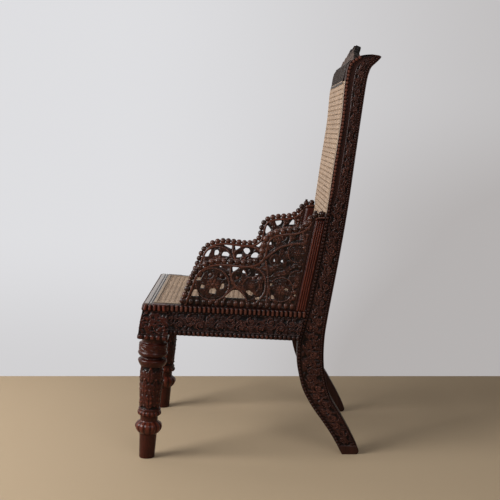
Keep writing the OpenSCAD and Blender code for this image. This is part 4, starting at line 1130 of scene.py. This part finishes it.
def onCrest(p):  # x across, y back, z up the lean of the cresting
    lean = math.radians(crest["lean"])
    x, y, z = np.moveaxis(p, -1, 0)
    return xyz(x, frontY(crestTop) - crest["proud"] + y * math.cos(lean) + z * math.sin(lean),
               crestTop - y * math.sin(lean) + z * math.cos(lean))


def crestingShell():
    c = canvas(0, crest["grid"][0] - 0.3, 0, crest["grid"][1], crest["step"])
    h = crest["lift"]
    for at, r0, r1, a0, a1, width, r in (
            ((139, 15), 11, 6, -60, 270, 6, 4.5), ((102, 22), 15, 8, 240, -90, 6.5, 6.5),
            ((57, 29), 20, 12, -60, 260, 7, 10)):
        scroll(c, at, r0, r1, a0, a1, width, h)
        flower(c, at, r, h)
    for root, heading, length, width, bend in (
            ((160, 5), 118, 19, 9, 40), ((121, 7), 92, 29, 12, 24), ((81, 9), 84, 41, 13, 30),
            ((67, 46), 130, 22, 10, -60), ((28, 8), 72, 50, 14, 34), ((16, 8), 64, 44, 12, -50),
            ((0, 6), 90, 66, 22, 0), ((0, 8), 48, 37.6, 13, -30), ((0, 8), 90, 47, 13, 0),
            ((0, 8), 132, 37.6, 13, 30)):
        leaf(c, root, heading, length, width, bend, h)
    fit = crest["top"] / crest["grid"][1]
    c["vv"], c["v"] = c["vv"] * fit, c["v"] * fit
    foot = crest["foot"] - c["vv"]
    inside = np.maximum(c["inside"], foot)
    c["h"] = np.where(foot > 0, np.maximum(c["h"], 2.4), c["h"])
    # the half is mirrored, so that the two sides are one plate
    whole = dict(c, steps=(c["step"], c["step"] * fit))
    u = np.append(-c["u"][:0:-1], c["u"])
    whole["uu"], whole["vv"] = np.meshgrid(u, c["v"], indexing="ij")
    whole["h"] = np.vstack([c["h"][:0:-1], c["h"]])
    inside = np.vstack([inside[:0:-1], inside])
    mid = 3 + crest["through"] / 2
    return cutOut(whole, inside, crest["half"],
                  lambda p: onCrest(xyz(p[..., 1], mid - p[..., 0], p[..., 2])))


settle(makePiece("carved_cresting", [crestingShell()], finishes["crestWood"]), "dark_wood",
       "cresting")


def crossRail(low, high, proud, thick, tilt):
    # a rail between the posts with a carved front, its top sloping down to the rear
    ground, edge = crossCarving["ground"], crossCarving["edge"]
    z = np.linspace(low, high, round((high - low) / 1.1))
    x = np.arange(-postIn + 0.2, postIn, 1.2)
    xx, zz = np.meshgrid(x, z, indexing="ij")
    c = canvas(-postIn, postIn, low + edge, high - edge, 0.9)
    mid = (low + high) / 2
    foliage(c, 0, postIn, low + edge, high - edge, crossCarving["leafSize"],
            crossCarving["lift"])
    half = c["h"][c["u"] >= 0]
    c["h"] = np.vstack([half[::-1], half])
    c["u"] = np.arange(len(c["h"])) * c["step"] - (len(half) - 0.5) * c["step"]
    cut = between(zz, low + edge - 1.4, low + edge, high - edge, high - edge + 1.4)
    h = (readCanvas(c, xx, zz) - ground) * cut
    h += ridgeAt(np.minimum(zz - low, high - zz), edge / 2, edge * 0.9, 0.7)
    # colour from height: painted shade in the ground, painted highlight on the tops
    shade = np.clip(np.where(cut > 0.5, (h + ground) / 3.4, 0.68), 0, 1)
    base = frontY(zz) - proud
    front = xyz(xx, base - h + 0.6, zz)
    lean = math.radians(tilt)
    top = (frontY(high) - proud + thick * math.cos(lean), high - thick * math.sin(lean))
    rear = [xyz(x, *top), *(xyz(x, frontY(at) - proud + thick, at) for at in (mid, low))]
    rings = np.concatenate([front, np.stack(rear, 1)], 1)
    return tube(rings, np.hstack([shade, np.full((len(x), 3), 0.6)]))


for name, shell, finish, node in (
        ("carved_crest_rail", crossRail(crestLow, crestTop, crest["proud"], crest["thick"],
                                        crest["lean"]), "crestWood", "crest_rail"),
        ("carved_back_rail", crossRail(lowerLow, lowerTop, 0, lower["thick"], 0), "carvedWood",
         "lower_back_rail")):
    settle(makePiece(name, [shell], finishes[finish]), "dark_wood", node)
print("back rails and cresting carved")

# Six-way cane: pairs along and across, and single strands on both diagonals
weave = {"pitch": 12.7, "pairGap": 0.122, "pairWidth": 3.35, "slantWidth": 4.0, "thick": 1.15,
         "lift": 0.2, "seatLevel": -1.2, "backLevel": -2.0, "seatReach": 450, "backReach": 980,
         "seed": 7}


def strandLines(reach, inside):
    # every strand as (x, y) points at its crossings, their lifts, and 0 in a pair or 1 aslant,
    # drawn as far as reach and then cut to shape
    p, gap, lift = weave["pitch"], weave["pairGap"] * weave["pitch"], weave["lift"]
    span = int(reach / p) + 2
    strands = []
    m = np.arange(-2 * span, 2 * span + 1)
    for k in range(-span, span):
        for side in (-1, 1):
            row = np.full(len(m), (k + 0.5) * p + side * gap)
            up = np.where(m % 2 == 0, 1, side) * lift
            strands += [(np.stack([m * p / 2, row], -1), up, 0),
                        (np.stack([row, m * p / 2], -1), -up, 0)]
    m = np.arange(-4 * span, 4 * span + 1)
    x = m * p / 4
    for k in range(-2 * span, 2 * span):
        for way in (-1, 1):
            up = np.where(m % 4 < 2, 1, -1) * way * lift * 1.5
            strands.append((np.stack([x, way * ((k + 0.5) * p - x)], -1), up, 1))
    kept = []
    for line, up, kind in strands:
        ok = inside(line[:, 0], line[:, 1]).astype(int)
        edges = np.flatnonzero(np.diff(np.concatenate([[0], ok, [0]])))
        kept += [(line[a:b], up[a:b], kind) for a, b in zip(edges[::2], edges[1::2])
                 if b - a > 2]
    return kept


def weaveCane(name, reach, inside, place):
    pieces = []
    rng = np.random.default_rng(weave["seed"])
    lines = strandLines(reach, inside)
    for kind, width in ((0, weave["pairWidth"]), (1, weave["slantWidth"])):
        points, edges, tones = [], [], []
        for line, up, _ in (row for row in lines if row[2] == kind):
            base = len(points)
            points += np.column_stack([line, up]).tolist()
            edges += [(base + i, base + i + 1) for i in range(len(line) - 1)]
            tones += [rng.random()] * len(line)
        mesh = bpy.data.meshes.new(name)
        mesh.from_pydata((np.array(points) * 0.001).tolist(), edges, [])
        tone = mesh.attributes.new("tone", "FLOAT", "POINT")
        tone.data.foreach_set("value", np.array(tones, np.float32))
        piece = grow(name, mesh, stripTree, {
            "Width": width * 0.001, "Thickness": weave["thick"] * 0.001,
            "Finish": finishes["caneStrand"]})
        flat = np.empty(len(piece.data.vertices) * 3, np.float32)
        piece.data.vertices.foreach_get("co", flat)
        moved = place(flat.reshape(-1, 3).astype(float) * 1000) * 0.001
        piece.data.vertices.foreach_set("co", moved.astype(np.float32).ravel())
        piece.data.update()
        pieces.append(piece)
    return pieces


seatIn = {"front": chair["frontRailThick"] - chair["caneLap"], "rear": chair["seatDepth"] + 24}
sideReach = sideX - (chair["sideRailThick"] - chair["caneLap"])


def inSeat(x, y):
    wide = sideReach - y * math.tan(sideTurn) - 1
    wide = np.where(y > chair["seatDepth"] - 4, postIn - 2, wide)
    return (np.abs(x) < wide) & (y > seatIn["front"] + 1) & (y < seatIn["rear"] - 1)


# the cane covers the posts' front faces from the top of the arms up
faceLow = float(onSeat(xyz(0, chair["seatDepth"], arm["height"]))[2]) + 2


def inBack(x, y):
    over = (np.abs(x) < postOut - 6) & (y > faceLow) & (y < crestLow + 4)
    return over | ((np.abs(x) < postIn) & (y > lowerTop - 9) & (y < crestLow + 9))


def seatPlace(p):
    return onSeat(p + (0, 0, weave["seatLevel"]))


def backPlace(p):
    return xyz(p[..., 0], frontY(p[..., 1]) + weave["backLevel"] - p[..., 2], p[..., 1])


for part, inside, place in (("seat", inSeat, seatPlace), ("back", inBack, backPlace)):
    pairs, slants = weaveCane(part + "_weave", weave[part + "Reach"], inside, place)
    settle(pairs, "cane", part + "_cane")
    settle(slants, "cane")


def caneEdge():  # the strip under the cane on the front face of a post
    z = np.linspace(faceLow, crestLow + 6, 90)
    x = np.array([postIn - 1.0, postIn + 1.0, postOut - 4.0, postOut - 3.0])
    zz, xx = np.meshgrid(z, x, indexing="ij")
    face = xyz(xx, frontY(zz) - np.array([0.2, 1.3, 1.3, 0.2]), zz)
    return slab(face, face + (0, 2.4, 0), np.full(xx.shape, 0.6))


bothSides("cane_edge", [caneEdge()], "caneBinding", "cane_binding")
print("cane woven")

# Beads on the posts' outer faces
def postBeads():
    fronts, backs = postFrontPoints, postBackPoints
    spec = postCarving
    rows = []
    # bead colour lighter from 500 to 760 mm up, most on the front row: painted highlight
    for near, other, inset, r, short, paintedHighlight in (
            (fronts, backs, spec["frontBeads"], spec["frontBeadRadius"], 36, 0.34),
            (backs, fronts, spec["backBeads"], spec["backBeadRadius"], 8, 0.1)):
        way = other - near
        line = near + way / np.linalg.norm(way, axis=1)[:, None] * inset
        s = lengthAlong(line)
        start, stop = spec["shoe"] + r + 1, s[-1] - short
        pitch = spec["beadSpacing"] * r / spec["frontBeadRadius"] * 1.04
        for at in np.linspace(start, stop, int((stop - start) / pitch) + 1):
            y, z = np.interp(at, s, line[:, 0]), np.interp(at, s, line[:, 1])
            rows.append(((postOut - spec["ground"] + 0.9, y, z), (r * 0.72, r, r),
                         0.46 + paintedHighlight * step01(z, 500, 760)))
    spots, sizes, shades = (np.array(part) for part in zip(*rows))
    beads("post_beads", spots, np.zeros(spots.shape), sizes, "carvedWood", 10, 6, shades)


postBeads()
print("beads set")

plainFinishes = (("binding", "caneBinding"), ("cane", "caneStrand"), ("pegs", "pegWood"),
                 ("dowels", "pegWood"))
for name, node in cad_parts.items():
    finish = next((made for word, made in plainFinishes if word in name), "plainWood")
    node.data.materials.clear()
    node.data.materials.append(finishes[finish])

# Stage: pale floor, pale backdrop, soft studio light
stage = {
    # the wall as the camera sees it, and as it lights the chair
    "wallLeft": (0.735, 0.735, 0.755), "wallRight": (0.46, 0.44, 0.435),
    "wall": (0.62, 0.62, 0.63), "wallAt": -0.6, "floor": (0.365, 0.275, 0.178),
    # how the wall darkens to the rear, to the floor, and in the chair's soft shade
    "falls": (("Y", -0.5, 1.1, 0.76), ("Z", 0.5, 0.0, 0.34), ("Y", -0.15, 0.55, 0.4),
              ("Z", 1.0, 0.45, 1.0)),
    # each lamp's place, size and power; all of them aim at the chair's middle
    "lamps": {"windowLight": ((1.1, -2.8, 1.9), (2.0, 1.8), 150),
              "roomLight": ((2.8, 1.0, 2.4), (1.6, 1.4), 26)},
    "middle": (0, 0, 0.5),
    # the sky's colour, and its strength on the chair and behind it
    "sky": (0.95, 0.97, 1.0), "skyLight": 0.2, "skySeen": 0.6,
}


def floorFinish():
    finish, tree = newFinish("paleFloor")
    polish(tree, {"Base Color": rgba(stage["floor"]), "Roughness": 0.8,
                  "Specular IOR Level": 0.2})
    return finish


def wallFinish():  # an even wall that falls off softly away from the window
    finish, tree = newFinish("paleWall")
    place = addNode(tree, "ShaderNodeTexCoord", {}).outputs["Object"]
    along = addNode(tree, "ShaderNodeSeparateXYZ", {"Vector": place})
    side, low, shade, under = (
        remap(tree, along.outputs[axis], start, stop, 0.0, amount,
              interpolation_type="SMOOTHSTEP") for axis, start, stop, amount in stage["falls"])
    fall = maths(tree, "MULTIPLY_ADD", shade, under, maths(tree, "ADD", side, low))
    colour = blendColours(tree, fall, rgba(stage["wallLeft"]), rgba(stage["wallRight"]))
    seen = addNode(tree, "ShaderNodeEmission", {"Color": colour, "Strength": 1.0}).outputs[0]
    plain = addNode(tree, "ShaderNodeBsdfDiffuse", {"Color": rgba(stage["wall"])}).outputs[0]
    ray = addNode(tree, "ShaderNodeLightPath", {}).outputs["Is Camera Ray"]
    both = addNode(tree, "ShaderNodeMixShader", {0: ray, 1: plain, 2: seen}).outputs[0]
    rear = addNode(tree, "ShaderNodeNewGeometry", {}).outputs["Backfacing"]
    clear = addNode(tree, "ShaderNodeBsdfTransparent", {}).outputs[0]
    both = addNode(tree, "ShaderNodeMixShader", {0: rear, 1: both, 2: clear}).outputs[0]
    addNode(tree, "ShaderNodeOutputMaterial", {"Surface": both})
    return finish


def plane(name, corners, finish):
    mesh = bpy.data.meshes.new(name)
    mesh.from_pydata(corners, [], [(0, 1, 2, 3)])
    mesh.materials.append(finish)
    board = addObject(name, mesh)


def softLight(name, place, size, power):
    data = bpy.data.lights.new(name, "AREA")
    data.shape = "RECTANGLE"
    data.size, data.size_y = size
    data.energy = power
    lamp = addObject(name, data)
    lamp.location = place
    x, y, z = np.array(stage["middle"]) - place
    lamp.rotation_euler = (math.pi / 2 + math.atan2(z, math.hypot(x, y)), 0,
                           math.atan2(y, x) - math.pi / 2)


w = stage["wallAt"]
plane("floor", [(-6, -6, 0), (6, -6, 0), (6, 6, 0), (-6, 6, 0)], floorFinish())
plane("wall", [(w, -6, 0), (w, 6, 0), (w, 6, 5), (w, -6, 5)], wallFinish())
for name, lamp in stage["lamps"].items():
    softLight(name, *lamp)
scene.world = bpy.data.worlds.new("world")
scene.world.use_nodes = True
sky = scene.world.node_tree
ray = addNode(sky, "ShaderNodeLightPath", {}).outputs["Is Camera Ray"]
sky.nodes["Background"].inputs[0].default_value = rgba(stage["sky"])
sky.links.new(remap(sky, ray, 0, 1, stage["skyLight"], stage["skySeen"]),
              sky.nodes["Background"].inputs[1])
print("stage set")
